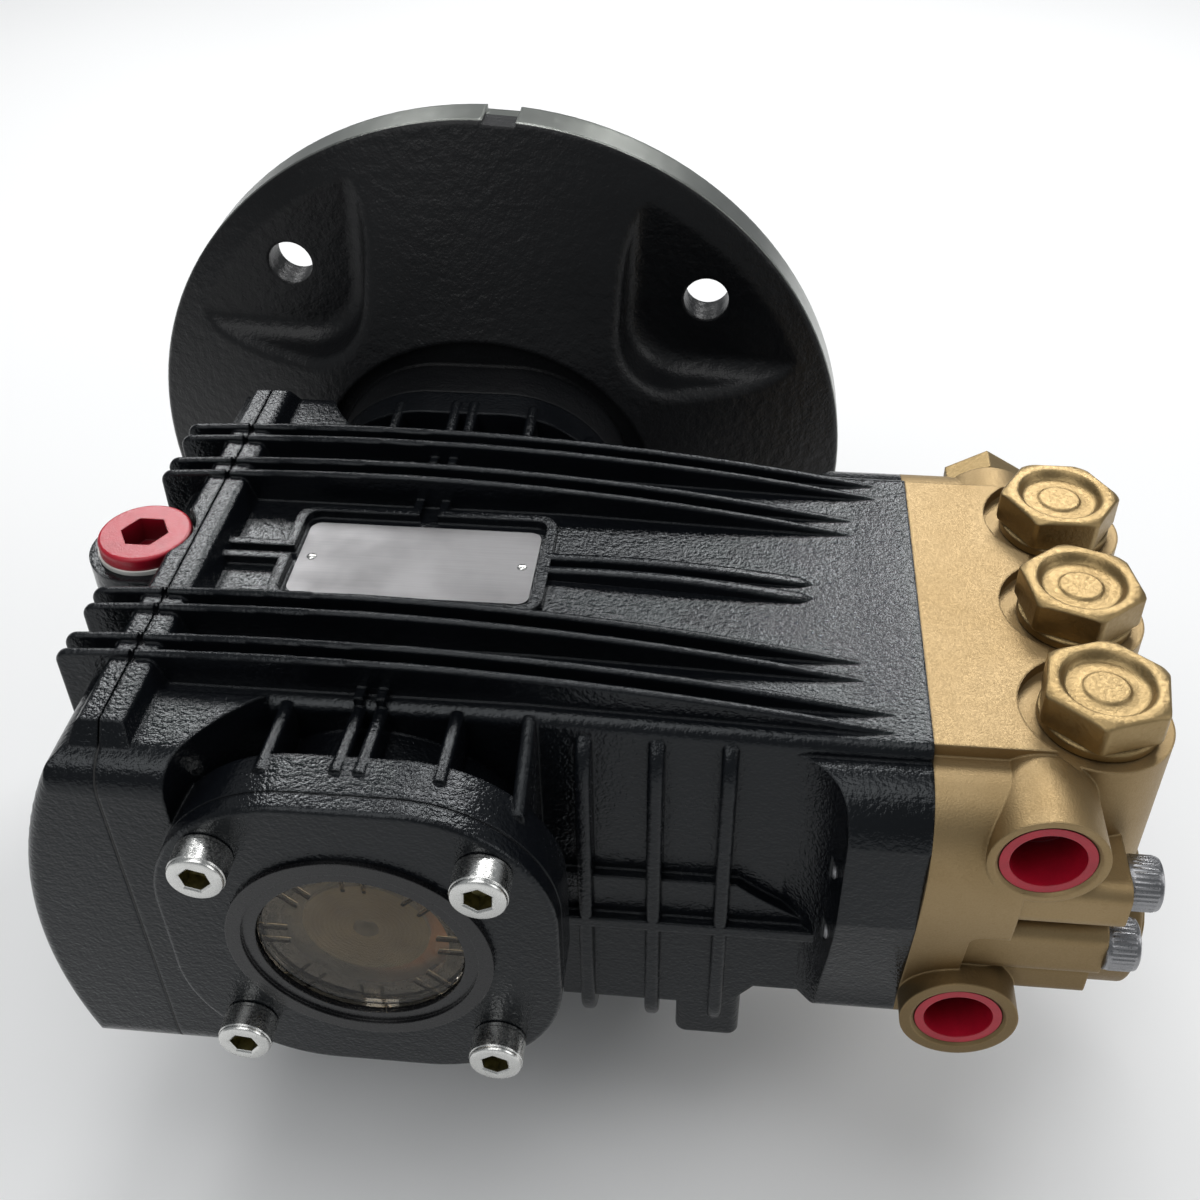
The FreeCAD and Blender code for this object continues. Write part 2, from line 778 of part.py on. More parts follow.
def crank_space():
    """The chamber and the two bearing seats in the case."""
    near_start, near_end = bearing_span(-1)
    far_start, far_end = bearing_span(1)
    chamber = cylinder_y(near_end, far_start, 0, 0, crank_web_radius + chamber_clearance)
    near_seat = cylinder_y(near_start - bearing_inset - cut_margin, near_end, 0, 0, near_bearing_outer_radius)
    far_seat = cylinder_y(far_start, far_end + bearing_inset + cut_margin, 0, 0, far_bearing_outer_radius)
    return [chamber, near_seat, far_seat]


def build_crankcase():
    shapes = [case_core(), case_shoulder()]
    shapes.append(split_strip(1))
    shapes.append(bolting_pad())
    for side in (-1, 1):
        shapes.extend(side_boss(side))
        shapes.extend(boss_gussets(side))
    for place in fin_places():
        shapes.append(long_fin(place, split_x, fin_front_x, case_top_z - fin_root_depth))
    shapes.extend(case_ribs())
    shapes.extend(feet())
    shapes.append(plate_frame())
    shapes.extend(spine_ribs())
    shapes.extend(cross_ribs())
    body = fuse_all(shapes)
    cuts = crank_space()
    cuts.extend(split_notch(place) for place in fin_places())
    for x, y in foot_places():
        cuts.append(cylinder_z(foot_bottom_z - cut_margin, foot_bottom_z + foot_thread_depth,
                               x, y, foot_thread_radius))
    cuts.extend(cover_screw_holes())
    cuts.extend(flange_screw_holes())
    cuts.extend(head_bolt_holes())
    return body.cut(cuts)


def case_face(side):
    return plunger_plane_y + side * boss_face_offset


def rear_outline_block(x_start, x_end):
    near_y, far_y = mirrored_y(shoulder_half_width)
    return rounded_block((x_start, x_end), (near_y, far_y), (shoulder_bottom_z, shoulder_top_z),
                         X_AXIS, shoulder_corner_radius)


def build_rear_gasket():
    """A thin sheet between the case and the rear cover, open in the middle."""
    sheet = rear_outline_block(split_x - gasket_thickness, split_x)
    return sheet.cut(rear_opening(split_x - gasket_thickness - cut_margin, split_x + cut_margin))


def rear_opening(x_start, x_end):
    near_y, far_y = mirrored_y(case_half_width - rear_wall)
    return rounded_block((x_start, x_end), (near_y, far_y),
                         (case_bottom_z + rear_wall, case_top_z - rear_wall), X_AXIS, shoulder_corner_radius)


def filler_boss(face_x):
    """The round boss under the oil plug, with a tapered foot and a web to the split face."""
    beyond_split = block((face_x, filler_x + filler_boss_radius + cut_margin),
                         mirrored_y(filler_boss_radius + cut_margin),
                         (filler_foot_z - cut_margin, filler_boss_top_z + cut_margin))
    barrel = cylinder_z(filler_boss_bottom_z, filler_boss_top_z, filler_x, plunger_plane_y, filler_boss_radius)
    foot = Part.makeCone(filler_foot_radius, filler_boss_radius, filler_boss_bottom_z - filler_foot_z,
                         V(filler_x, plunger_plane_y, filler_foot_z), Z_AXIS)
    web = block((filler_x, face_x), mirrored_y(filler_boss_radius), (filler_boss_bottom_z, filler_boss_top_z))
    return [barrel.fuse(foot).cut(beyond_split), web]


def build_rear_cover():
    """The rear cover: a wide lid with a bellied back, the fin ends and the oil filler boss."""
    face_x = split_x - gasket_thickness
    near_y, far_y = mirrored_y(shoulder_half_width)
    top = V(rear_top_end_x, near_y, shoulder_top_z)
    belly = V(rear_belly_x, near_y, rear_belly_z)
    foot = V(rear_foot_x, near_y, shoulder_bottom_z)
    face_bottom = V(face_x, near_y, shoulder_bottom_z)
    face_top = V(face_x, near_y, shoulder_top_z)
    edges = [
        Part.LineSegment(face_top, top).toShape(),
        Part.Arc(top, belly, foot).toShape(),
        Part.LineSegment(foot, face_bottom).toShape(),
        Part.LineSegment(face_bottom, face_top).toShape(),
    ]
    lid = Part.Face(Part.Wire(edges)).extrude(V(0, far_y - near_y, 0))
    lid = fillet_where(lid, rear_top_round, lambda edge: runs_along(edge, Y_AXIS)
                       and edge.CenterOfMass.isEqual(V(rear_top_end_x, plunger_plane_y, shoulder_top_z), 0.01))
    lid = fillet_where(lid, rear_edge_radius, lambda edge: edge.Curve.TypeId == "Part::GeomCircle")
    lid = lid.common(rear_outline_block(rear_belly_x - rear_edge_radius, face_x))
    shapes = [lid, split_strip(-1)]
    for place in fin_places():
        shapes.append(long_fin(place, fin_rear_x, face_x, fin_rear_root_z))
    shapes.extend(filler_boss(face_x))
    body = fuse_all(shapes)
    cuts = [rear_opening(face_x - rear_cavity_depth, face_x + cut_margin)]
    cuts.append(cylinder_z(filler_boss_top_z - filler_bore_depth, filler_boss_top_z + cut_margin,
                           filler_x, plunger_plane_y, filler_bore_radius))
    cuts.append(cylinder_z(filler_boss_top_z, strip_top_z + cut_margin, filler_x, plunger_plane_y,
                           washer_radius + washer_clearance))
    cuts.extend(split_notch(place) for place in fin_places())
    return body.cut(cuts)


def build_plug_washer():
    top_z = filler_boss_top_z + washer_thickness
    ring = cylinder_z(filler_boss_top_z, top_z, filler_x, plunger_plane_y, washer_radius)
    hole = cylinder_z(filler_boss_top_z - cut_margin, top_z + cut_margin, filler_x, plunger_plane_y,
                      filler_bore_radius)
    return ring.cut(hole)


def build_oil_fill_plug():
    seat_z = filler_boss_top_z + washer_thickness
    top_z = seat_z + plug_head_height
    head = cylinder_z(seat_z, top_z, filler_x, plunger_plane_y, plug_head_radius)
    head = fillet_where(head, plug_edge_radius, lambda edge: edge.CenterOfMass.z > top_z - 0.01)
    thread = cylinder_z(seat_z - plug_thread_length, seat_z, filler_x, plunger_plane_y, filler_bore_radius)
    socket_floor = V(filler_x, plunger_plane_y, top_z - plug_socket_depth)
    socket = hexagon(plug_socket_across_flats, socket_floor, Z_AXIS, plug_socket_depth + cut_margin)
    return head.fuse(thread).removeSplitter().cut(socket)


def build_nameplate():
    return rounded_block((-plate_half_length, plate_half_length), mirrored_y(plate_half_width),
                         (case_top_z, case_top_z + plate_thickness), Z_AXIS, plate_corner_radius)


def cover_back_y():
    return case_face(-1) - shim_thickness


def cover_front_y():
    return cover_back_y() - cover_thickness


def cover_screw_seat(x, z):
    return V(x, cover_front_y(), z)


def cover_screw_length():
    return cover_thickness + shim_thickness + screw_grip


def cover_screw_holes():
    seats = [cover_screw_seat(x, z) for x, z in quadrants(cover_screw_offset)]
    return [screw_hole(seat, V(0, -1, 0), cover_screw_length()) for seat in seats]


def build_side_cover():
    cover = boss_outline(cover_front_y(), cover_back_y())
    front_edges = [edge for edge in cover.Edges
                   if abs(edge.CenterOfMass.y - cover_front_y()) < 0.01 and edge.Length > 1.0]
    cover = cover.makeFillet(cover_edge_radius, front_edges)
    opening = cylinder_y(cover_front_y() - cut_margin, cover_back_y() + cut_margin, 0, 0, glass_seat_radius)
    return cover.cut([opening] + cover_screw_holes())


def build_side_cover_shim():
    shim = boss_outline(cover_back_y(), case_face(-1), shim_inset)
    opening = cylinder_y(cover_back_y() - cut_margin, case_face(-1) + cut_margin, 0, 0, glass_seat_radius)
    return shim.cut([opening] + cover_screw_holes())


def build_sight_glass_ring():
    """The black bezel that clamps the glass: a flange over the cover and a sleeve in its bore."""
    front_y = cover_front_y() - ring_stand_proud
    flange = cylinder_y(front_y, cover_front_y(), 0, 0, ring_outer_radius)
    sleeve = cylinder_y(cover_front_y(), cover_back_y(), 0, 0, glass_seat_radius)
    window = cylinder_y(front_y - cut_margin, cover_back_y() + cut_margin, 0, 0, window_radius)
    step = cylinder_y(front_y - cut_margin, front_y + ring_step_depth, 0, 0, ring_step_radius)
    return flange.fuse(sleeve).removeSplitter().cut([window, step])


def glass_front_y():
    return cover_front_y() - ring_stand_proud + glass_recess


def build_sight_glass():
    """The clear disc, with pairs of short ribs moulded round the back of it."""
    front_y = glass_front_y()
    back_y = front_y + glass_thickness
    shapes = [cylinder_y(front_y, back_y, 0, 0, window_radius)]
    for step in range(glass_rib_count):
        for side in (-1, 1):
            start = window_radius - glass_rib_length
            rib = block((start, window_radius - glass_rib_rim_gap),
                        (back_y, back_y + glass_rib_depth),
                        (side * glass_rib_pair_gap - glass_rib_width / 2.0,
                         side * glass_rib_pair_gap + glass_rib_width / 2.0))
            rib.rotate(V(0, 0, 0), Y_AXIS, 360.0 * step / glass_rib_count)
            shapes.append(rib)
    return fuse_all(shapes)


def bearing_ring(side, outer_radius, journal_radius):
    """A bearing shown as its rings and shields in one, bored to run on the journal."""
    y_start, y_end = bearing_span(side)
    ring = cylinder_y(y_start, y_end, 0, 0, outer_radius)
    bore = cylinder_y(y_start - cut_margin, y_end + cut_margin, 0, 0, journal_radius + running_clearance)
    groove_outer = outer_radius - bearing_ring_thickness
    groove_inner = journal_radius + bearing_ring_thickness
    for y in (y_start, y_end):
        groove = cylinder_y(y - bearing_shield_inset, y + bearing_shield_inset, 0, 0, groove_outer)
        groove = groove.cut(cylinder_y(y - cut_margin, y + cut_margin, 0, 0, groove_inner))
        ring = ring.cut(groove)
    return ring.cut(bore)


def build_crankshaft():
    """Three throws between webs, a plain near journal and a hollow keyed far end."""
    near_end = bearing_span(-1)[1]
    far_start = bearing_span(1)[0]
    end_y = case_face(-1) + crank_end_inset
    shapes = [cylinder_y(end_y, near_end + bearing_web_gap, 0, 0, near_journal_radius)]
    shapes.append(cylinder_y(far_start - bearing_web_gap, shaft_mouth_y, 0, 0, far_journal_radius))
    pin_centres = plunger_rows()
    half_pin = crank_pin_width / 2.0
    for index, y in enumerate(pin_centres):
        angle = math.radians(360.0 * index / plunger_count)
        pin_x = crank_throw * math.cos(angle)
        pin_z = crank_throw * math.sin(angle)
        shapes.append(cylinder_y(y - half_pin, y + half_pin, pin_x, pin_z, crank_pin_radius))
    half_web = (plunger_pitch - crank_pin_width) / 2.0
    for y in rows_between_plungers():
        shapes.append(cylinder_y(y - half_web, y + half_web, 0, 0, crank_web_radius))
    first_web_start = near_end + bearing_web_gap
    shapes.append(cylinder_y(first_web_start, pin_centres[0] - half_pin, 0, 0, crank_web_radius))
    last_web_end = far_start - bearing_web_gap
    shapes.append(cylinder_y(pin_centres[-1] + half_pin, last_web_end, 0, 0, crank_web_radius))
    body = fuse_all(shapes)
    bore = cylinder_y(shaft_mouth_y - motor_bore_depth, shaft_mouth_y + cut_margin, 0, 0, motor_bore_radius)
    keyway = block((-keyway_width / 2.0, keyway_width / 2.0),
                   (shaft_mouth_y - motor_bore_depth, shaft_mouth_y + cut_margin),
                   (0, motor_bore_radius + keyway_depth))
    drill = cylinder_y(end_y - cut_margin, end_y + centre_drill_depth, 0, 0, centre_drill_radius)
    return body.cut([bore, keyway, drill])


def flange_screw_seat(x, z):
    return V(x, bell_floor_y, z)


def flange_screw_length():
    return bell_floor_y - case_face(1) + screw_grip


def flange_screw_holes():
    return [screw_hole(flange_screw_seat(x, z), Y_AXIS, flange_screw_length())
            for x, z in quadrants(cover_screw_offset)]


def flange_pocket(quadrant):
    """A corner pocket beside a motor bolt: two straight walls that meet in a round corner."""
    reach = flange_radius * 1.5
    side_range = (pocket_wall_offset, reach)
    pocket = block(side_range, (flange_cone_y * 2.0, pocket_floor_y), side_range)
    pocket = fillet_where(pocket, pocket_corner_radius, lambda edge: runs_along(edge, Y_AXIS)
                          and abs(edge.CenterOfMass.x - pocket_wall_offset) < 0.01
                          and abs(edge.CenterOfMass.z - pocket_wall_offset) < 0.01)
    inside = reach - cut_margin
    pocket = fillet_where(pocket, pocket_floor_radius,
                          lambda edge: abs(edge.CenterOfMass.y - pocket_floor_y) < 0.01
                          and edge.CenterOfMass.x < inside and edge.CenterOfMass.z < inside)
    pocket.rotate(V(0, 0, 0), Y_AXIS, 90.0 * quadrant + flange_clocking)
    return pocket


def is_pocket_rim(edge):
    """True for the edges where the pocket walls break out of the flange's cone."""
    centre = edge.CenterOfMass
    reach = math.hypot(centre.x, centre.z)
    on_cone = flange_cone_radius + cut_margin < reach < flange_radius - pocket_rim_margin
    return on_cone and centre.y < pocket_floor_y - cut_margin


def build_motor_flange():
    """The bell flange: a shallow cone with four pockets, a square hub and a female motor register."""
    outline = [
        (0, flange_moat_floor_y),
        (flange_cone_radius, flange_moat_floor_y),
        (flange_cone_radius, flange_cone_y),
        (flange_radius - flange_rim_chamfer, -flange_rim_width),
        (flange_radius, -flange_rim_width + flange_rim_chamfer),
        (flange_radius, 0),
        (0, 0),
    ]
    corners = [V(radius, y, 0) for radius, y in outline]
    plate = Part.Face(Part.makePolygon(corners + corners[:1])).revolve(V(0, 0, 0), Y_AXIS, 360)
    for quadrant in range(4):
        plate = plate.cut(flange_pocket(quadrant))
    plate = fillet_where(plate, pocket_edge_radius, is_pocket_rim)
    hub = boss_outline(case_face(1), bell_floor_y)
    body = plate.fuse(hub).removeSplitter()
    register = cylinder_y(-register_depth, 1.0, 0, 0, register_radius)
    bell = Part.makeCone(bell_floor_radius, bell_mouth_radius, -bell_floor_y,
                         V(0, bell_floor_y, 0), Y_AXIS)
    seal_seat = cylinder_y(case_face(1) - cut_margin, bell_floor_y + cut_margin, 0, 0, seal_outer_radius)
    cuts = [register, bell, seal_seat]
    for index in range(flange_bolt_count):
        angle = math.radians(45.0 + 360.0 * index / flange_bolt_count - flange_clocking)
        x = flange_bolt_circle_radius * math.cos(angle)
        z = flange_bolt_circle_radius * math.sin(angle)
        cuts.append(cylinder_y(flange_cone_y, 1.0, x, z, flange_bolt_hole_radius))
    notch = block((-rim_notch_width / 2.0, rim_notch_width / 2.0), (-flange_rim_width - 2.0, 1.0),
                  (flange_radius - rim_notch_depth, flange_radius + cut_margin))
    notch.rotate(V(0, 0, 0), Y_AXIS, flange_clocking)
    cuts.append(notch)
    cuts.extend(flange_screw_holes())
    return body.cut(cuts)


def build_shaft_seal():
    outer_y = bell_floor_y
    ring = cylinder_y(outer_y - seal_width, outer_y, 0, 0, seal_outer_radius)
    return ring.cut(cylinder_y(outer_y - seal_width - cut_margin, outer_y + cut_margin, 0, 0,
                               far_journal_radius + running_clearance))


def plunger_rows():
    centre = (plunger_count - 1) / 2.0
    return [plunger_plane_y + (index - centre) * plunger_pitch for index in range(plunger_count)]


def rows_between_plungers():
    rows = plunger_rows()
    return [(first + second) / 2.0 for first, second in zip(rows, rows[1:])]


def head_bolt_seats():
    """The eight points under the bolt heads: four beside the head and four between the plungers."""
    seats = []
    for y in mirrored_y(head_bolt_offset_y):
        seats.append(V(head_bolt_seat_x, y, head_bolt_z))
        seats.append(V(head_bolt_seat_x, y, -head_bolt_z))
    for y in rows_between_plungers():
        seats.append(V(inner_bolt_seat_x, y, inner_bolt_z))
        seats.append(V(inner_lower_seat_x, y, inner_lower_bolt_z))
    return seats


def head_bolt_grip(seat):
    return seat.x - joint_x + head_bolt_hold


def head_bolt_holes():
    return [screw_hole(seat, X_AXIS, head_bolt_grip(seat)) for seat in head_bolt_seats()]


def port_face(side):
    """The open ports are on the near side (-1), the shorter blanked ones on the far side (1)."""
    return plunger_plane_y + side * (port_face_offset if side < 0 else blank_face_offset)


def port_bosses():
    near_y, far_y = port_face(-1), port_face(1)
    return [
        cylinder_y(near_y, far_y, outlet_x, outlet_z, outlet_boss_radius),
        cylinder_y(near_y, far_y, inlet_x, inlet_z, inlet_boss_radius),
    ]


def port_bore(x, z, side):
    """A threaded port shown at its thread size, with a lead-in chamfer."""
    face_y = port_face(side)
    floor_y = face_y - side * port_depth
    bore = cylinder_y(min(face_y, floor_y), max(face_y, floor_y), x, z, port_thread_radius)
    chamfer = Part.makeCone(port_thread_radius + port_chamfer, port_thread_radius, port_chamfer,
                            V(x, face_y, z), V(0, -side, 0))
    return bore.fuse(chamfer)


def cheek_recess(side):
    """The step cut into each cheek below the outlet."""
    inner_y = plunger_plane_y + side * (head_half_width - cut_margin)
    outer_y = plunger_plane_y + side * (pad_half_width + cut_margin)
    y_range = (min(inner_y, outer_y), max(inner_y, outer_y))
    return rounded_block((cheek_recess_x, cheek_end_x + bar_corner_radius), y_range,
                         (pad_bottom_z - bar_corner_radius, cheek_recess_top_z), Y_AXIS, recess_corner_radius)


def bolt_bars(side):
    """The two thick bars beside the head that the long outer bolts pass through."""
    inner_y = plunger_plane_y + side * (head_half_width - 2.0)
    bars = []
    for z, half_height, outset in (
            (head_bolt_z, upper_bar_half_height, upper_bar_outset),
            (-head_bolt_z, lower_bar_half_height, lower_bar_outset)):
        outer_y = plunger_plane_y + side * (head_bolt_offset_y + outset)
        y_range = (min(inner_y, outer_y), max(inner_y, outer_y))
        bars.append(rounded_block((joint_x, head_bolt_seat_x), y_range,
                                  (z - half_height, z + half_height), X_AXIS, bar_corner_radius))
    ledge_y = plunger_plane_y + side * ledge_half_width
    y_range = (min(inner_y, ledge_y), max(inner_y, ledge_y))
    z_range = (ledge_z - ledge_half_height, ledge_z + ledge_half_height)
    bars.append(rounded_block((joint_x, ledge_end_x), y_range, z_range, X_AXIS, bar_corner_radius))
    return bars


def build_pump_head():
    """The brass head: manifold block, valve bosses, galleries and bolt bars."""
    near_y, far_y = mirrored_y(head_half_width)
    shapes = [joint_outline(joint_x, cheek_end_x)]
    shapes.append(block((joint_x, head_deck_end_x), (near_y, far_y), (head_bottom_z, head_top_z)))
    shapes.append(block((joint_x, head_body_end_x), (near_y, far_y), (head_bottom_z, cap_seat_z)))
    shapes[0] = shapes[0].cut([cheek_recess(side) for side in (-1, 1)])
    for y in plunger_rows():
        shapes.append(cylinder_z(cap_boss_bottom_z, cap_seat_z, cap_place_x, y, cap_boss_radius))
        front_boss = cylinder_x(front_boss_start_x, front_boss_face_x, y, front_cap_z, front_boss_radius)
        shapes.append(fillet_where(front_boss, front_boss_edge,
                                   lambda edge: edge.CenterOfMass.x > front_boss_face_x - 0.01))
    shapes.extend(port_bosses())
    for side in (-1, 1):
        shapes.extend(bolt_bars(side))
    for y in rows_between_plungers():
        shapes.append(cylinder_x(joint_x, inner_bolt_seat_x, y, inner_bolt_z, inner_bar_radius))
        shapes.append(cylinder_x(joint_x, inner_lower_seat_x, y, inner_lower_bolt_z, inner_bar_radius))
    body = fuse_in_turn(shapes)
    cuts = []
    past_face_x = front_boss_face_x + cut_margin
    for y in plunger_rows():
        cuts.append(cylinder_z(cap_seat_z - cap_spigot_length, cap_seat_z + cut_margin, cap_place_x, y,
                               cap_spigot_radius))
        cuts.append(cylinder_z(cap_seat_z, head_top_z + cut_margin, cap_place_x, y, cap_spot_radius))
        cuts.append(cylinder_x(front_cap_seat_x - cap_spigot_length, front_boss_face_x, y,
                               front_cap_z, cap_spigot_radius))
        cuts.append(cylinder_x(front_cap_seat_x, past_face_x, y, front_cap_z, front_spot_radius))
    for y in rows_between_plungers():
        cuts.append(cylinder_x(inner_lower_seat_x, past_face_x, y, inner_lower_bolt_z,
                               screw_head_radius + bolt_head_room))
    for side in (-1, 1):
        cuts.append(port_bore(outlet_x, outlet_z, side))
        cuts.append(port_bore(inlet_x, inlet_z, side))
    for x, z in ((outlet_x, outlet_z), (inlet_x, inlet_z)):
        cuts.append(cylinder_y(port_face(1), port_face(1) + blank_spot_reach, x, z, blank_spot_radius))
    cuts.extend(head_bolt_holes())
    return body.cut(cuts)


def valve_cap(seat, axis, turn):
    """A hex cap with a dished face, a raised button and a threaded spigot."""
    collar = Part.makeCylinder(cap_collar_radius, cap_collar_height, seat, axis)
    hex_start = seat + axis * cap_collar_height
    hex_body = hexagon(cap_across_flats, hex_start, axis, cap_hex_height, turn)
    corner_radius = cap_across_flats / math.sqrt(3.0)
    crown = Part.makeCone(corner_radius + cap_hex_height - cap_chamfer, corner_radius - cap_chamfer,
                          cap_hex_height, hex_start, axis)
    hex_body = hex_body.common(crown)
    spigot = Part.makeCylinder(cap_spigot_radius, cap_spigot_length, seat - axis * cap_spigot_length, axis)
    top = hex_start + axis * cap_hex_height
    dish = Part.makeCone(cap_recess_radius - cap_recess_taper, cap_recess_radius, cap_recess_depth,
                         top - axis * cap_recess_depth, axis)
    button = Part.makeCylinder(cap_button_radius, cap_button_height, top - axis * cap_recess_depth, axis)
    body = fuse_all([collar, hex_body, spigot])
    return body.cut(dish).fuse(button).removeSplitter()


def port_plug(x, z):
    """A hollow red transit plug pushed into a port."""
    mouth_y = port_face(-1) + port_plug_inset
    floor_y = mouth_y + port_plug_length
    shell = cylinder_y(mouth_y, floor_y, x, z, port_thread_radius)
    hollow_radius = port_thread_radius - port_plug_wall
    hollow = cylinder_y(mouth_y - cut_margin, floor_y - port_plug_wall, x, z, hollow_radius)
    return shell.cut(hollow)


def blank_plug(x, z):
    """A brass hex plug that closes the far end of a gallery."""
    face_y = port_face(1)
    thread = cylinder_y(face_y - blank_thread_length, face_y, x, z, port_thread_radius)
    collar = cylinder_y(face_y, face_y + blank_collar_height, x, z, blank_collar_radius)
    head = hexagon(blank_plug_across_flats, V(x, face_y + blank_collar_height, z), Y_AXIS, blank_plug_height)
    return fuse_all([thread, collar, head])


def build_parts():
    parts = {
        "crankcase": build_crankcase(),
        "rear_gasket": build_rear_gasket(),
        "rear_cover": build_rear_cover(),
        "plug_washer": build_plug_washer(),
        "oil_fill_plug": build_oil_fill_plug(),
        "nameplate": build_nameplate(),
        "side_cover": build_side_cover(),
        "side_cover_shim": build_side_cover_shim(),
        "sight_glass_ring": build_sight_glass_ring(),
        "sight_glass": build_sight_glass(),
        "near_bearing": bearing_ring(-1, near_bearing_outer_radius, near_journal_radius),
        "far_bearing": bearing_ring(1, far_bearing_outer_radius, far_journal_radius),
        "crankshaft": build_crankshaft(),
        "motor_flange": build_motor_flange(),
        "shaft_seal": build_shaft_seal(),
        "pump_head": build_pump_head(),
        "inlet_plug": port_plug(inlet_x, inlet_z),
        "outlet_plug": port_plug(outlet_x, outlet_z),
        "inlet_blank": blank_plug(inlet_x, inlet_z),
        "outlet_blank": blank_plug(outlet_x, outlet_z),
    }
    for index, (x, z) in enumerate(quadrants(cover_screw_offset), start=1):
        parts[f"side_cover_screw_{index}"] = socket_screw(
            cover_screw_seat(x, z), V(0, -1, 0), cover_screw_length())
        parts[f"flange_screw_{index}"] = socket_screw(
            flange_screw_seat(x, z), Y_AXIS, flange_screw_length())
    for index, y in enumerate(plunger_rows(), start=1):
        parts[f"delivery_cap_{index}"] = valve_cap(
            V(cap_place_x, y, cap_seat_z), Z_AXIS, delivery_cap_turn * index)
        parts[f"suction_cap_{index}"] = valve_cap(
            V(front_cap_seat_x, y, front_cap_z), X_AXIS, suction_cap_turn * index)
    for index, seat in enumerate(head_bolt_seats(), start=1):
        parts[f"head_bolt_{index}"] = socket_screw(seat, X_AXIS, head_bolt_grip(seat))
    return parts


os.makedirs("parts", exist_ok=True)
for node, shape in build_parts().items():
    shape.exportStep(f"parts/{node}.step")
    box = shape.BoundBox
    spans = [(box.XMin, box.XMax), (box.YMin, box.YMax), (box.ZMin, box.ZMax)]
    size = ", ".join(f"{name} {low:.1f} to {high:.1f}" for name, (low, high) in zip("xyz", spans))
    print(f"{node}: solids {len(shape.Solids)}, valid {shape.isValid()}, volume {shape.Volume:.0f}, {size}")
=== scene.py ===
import json
import math

import bmesh
import bpy
from mathutils import Matrix, Vector


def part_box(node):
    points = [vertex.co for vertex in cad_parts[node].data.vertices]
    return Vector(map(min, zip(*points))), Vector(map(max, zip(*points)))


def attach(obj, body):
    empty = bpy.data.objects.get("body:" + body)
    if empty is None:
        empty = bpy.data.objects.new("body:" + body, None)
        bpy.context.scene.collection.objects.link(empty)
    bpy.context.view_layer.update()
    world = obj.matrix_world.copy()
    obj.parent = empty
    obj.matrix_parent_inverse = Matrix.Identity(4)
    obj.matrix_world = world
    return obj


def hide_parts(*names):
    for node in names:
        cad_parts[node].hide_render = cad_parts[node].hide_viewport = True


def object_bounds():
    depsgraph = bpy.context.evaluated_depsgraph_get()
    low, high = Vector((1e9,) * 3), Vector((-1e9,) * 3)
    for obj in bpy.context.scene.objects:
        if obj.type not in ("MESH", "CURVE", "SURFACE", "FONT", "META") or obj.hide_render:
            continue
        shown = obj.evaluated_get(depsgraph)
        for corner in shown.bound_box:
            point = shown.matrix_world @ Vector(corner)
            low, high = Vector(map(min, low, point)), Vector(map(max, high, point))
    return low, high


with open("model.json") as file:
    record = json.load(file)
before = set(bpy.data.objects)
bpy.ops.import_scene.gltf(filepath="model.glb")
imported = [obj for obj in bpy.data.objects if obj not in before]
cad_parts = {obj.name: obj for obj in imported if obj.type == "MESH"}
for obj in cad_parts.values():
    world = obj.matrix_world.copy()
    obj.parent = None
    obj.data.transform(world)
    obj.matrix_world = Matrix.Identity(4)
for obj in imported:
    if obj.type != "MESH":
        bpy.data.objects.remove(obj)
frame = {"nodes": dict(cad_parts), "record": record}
cad_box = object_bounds()
nodes = frame["nodes"]

# Camera, at the photograph's angle. Its angles are in degrees. Every length is in metres, unless its
# name ends in _MM.
CAMERA_PLACE = (0.0780, -0.4118, 0.2691)
CAMERA_YAW = 6.3
CAMERA_PITCH = 39.71
CAMERA_ROLL = 0.93
FOCAL_LENGTH_MM = 42.47
SENSOR_WIDTH_MM = 36.0
NEAREST_SEEN = 0.01
FARTHEST_SEEN = 20.0

FULL_TURN = 2.0 * math.pi

# The crank's axis runs along Y through the origin, and the plungers lie about this middle plane
MIDDLE_Y = -0.1329


def add_camera():
    yaw, pitch, roll = (math.radians(angle) for angle in (CAMERA_YAW, CAMERA_PITCH, CAMERA_ROLL))
    ahead = Vector((math.sin(-yaw) * math.cos(pitch), math.cos(yaw) * math.cos(pitch), -math.sin(pitch)))
    right = ahead.cross(Vector((0, 0, 1))).normalized()
    down = ahead.cross(right)
    rolled_right = right * math.cos(roll) + down * math.sin(roll)
    rolled_down = down * math.cos(roll) - right * math.sin(roll)
    data = bpy.data.cameras.new("view")
    data.lens = FOCAL_LENGTH_MM
    data.sensor_width = SENSOR_WIDTH_MM
    data.clip_start = NEAREST_SEEN
    data.clip_end = FARTHEST_SEEN
    camera = bpy.data.objects.new("view", data)
    turn = Matrix((rolled_right, -rolled_down, -ahead)).transposed()
    camera.matrix_world = Matrix.Translation(CAMERA_PLACE) @ turn.to_4x4()
    bpy.context.scene.collection.objects.link(camera)
    bpy.context.scene.camera = camera


# Helpers for node materials. Sizes in them are metres, colours are linear red, green and blue.
BEVEL_SAMPLES = 4
HOLLOW_SAMPLES = 6
EDGE_LEAN = (0.995, 0.85)


def shade(color, factor, lift=0.0):
    return tuple(channel * factor + lift for channel in color)


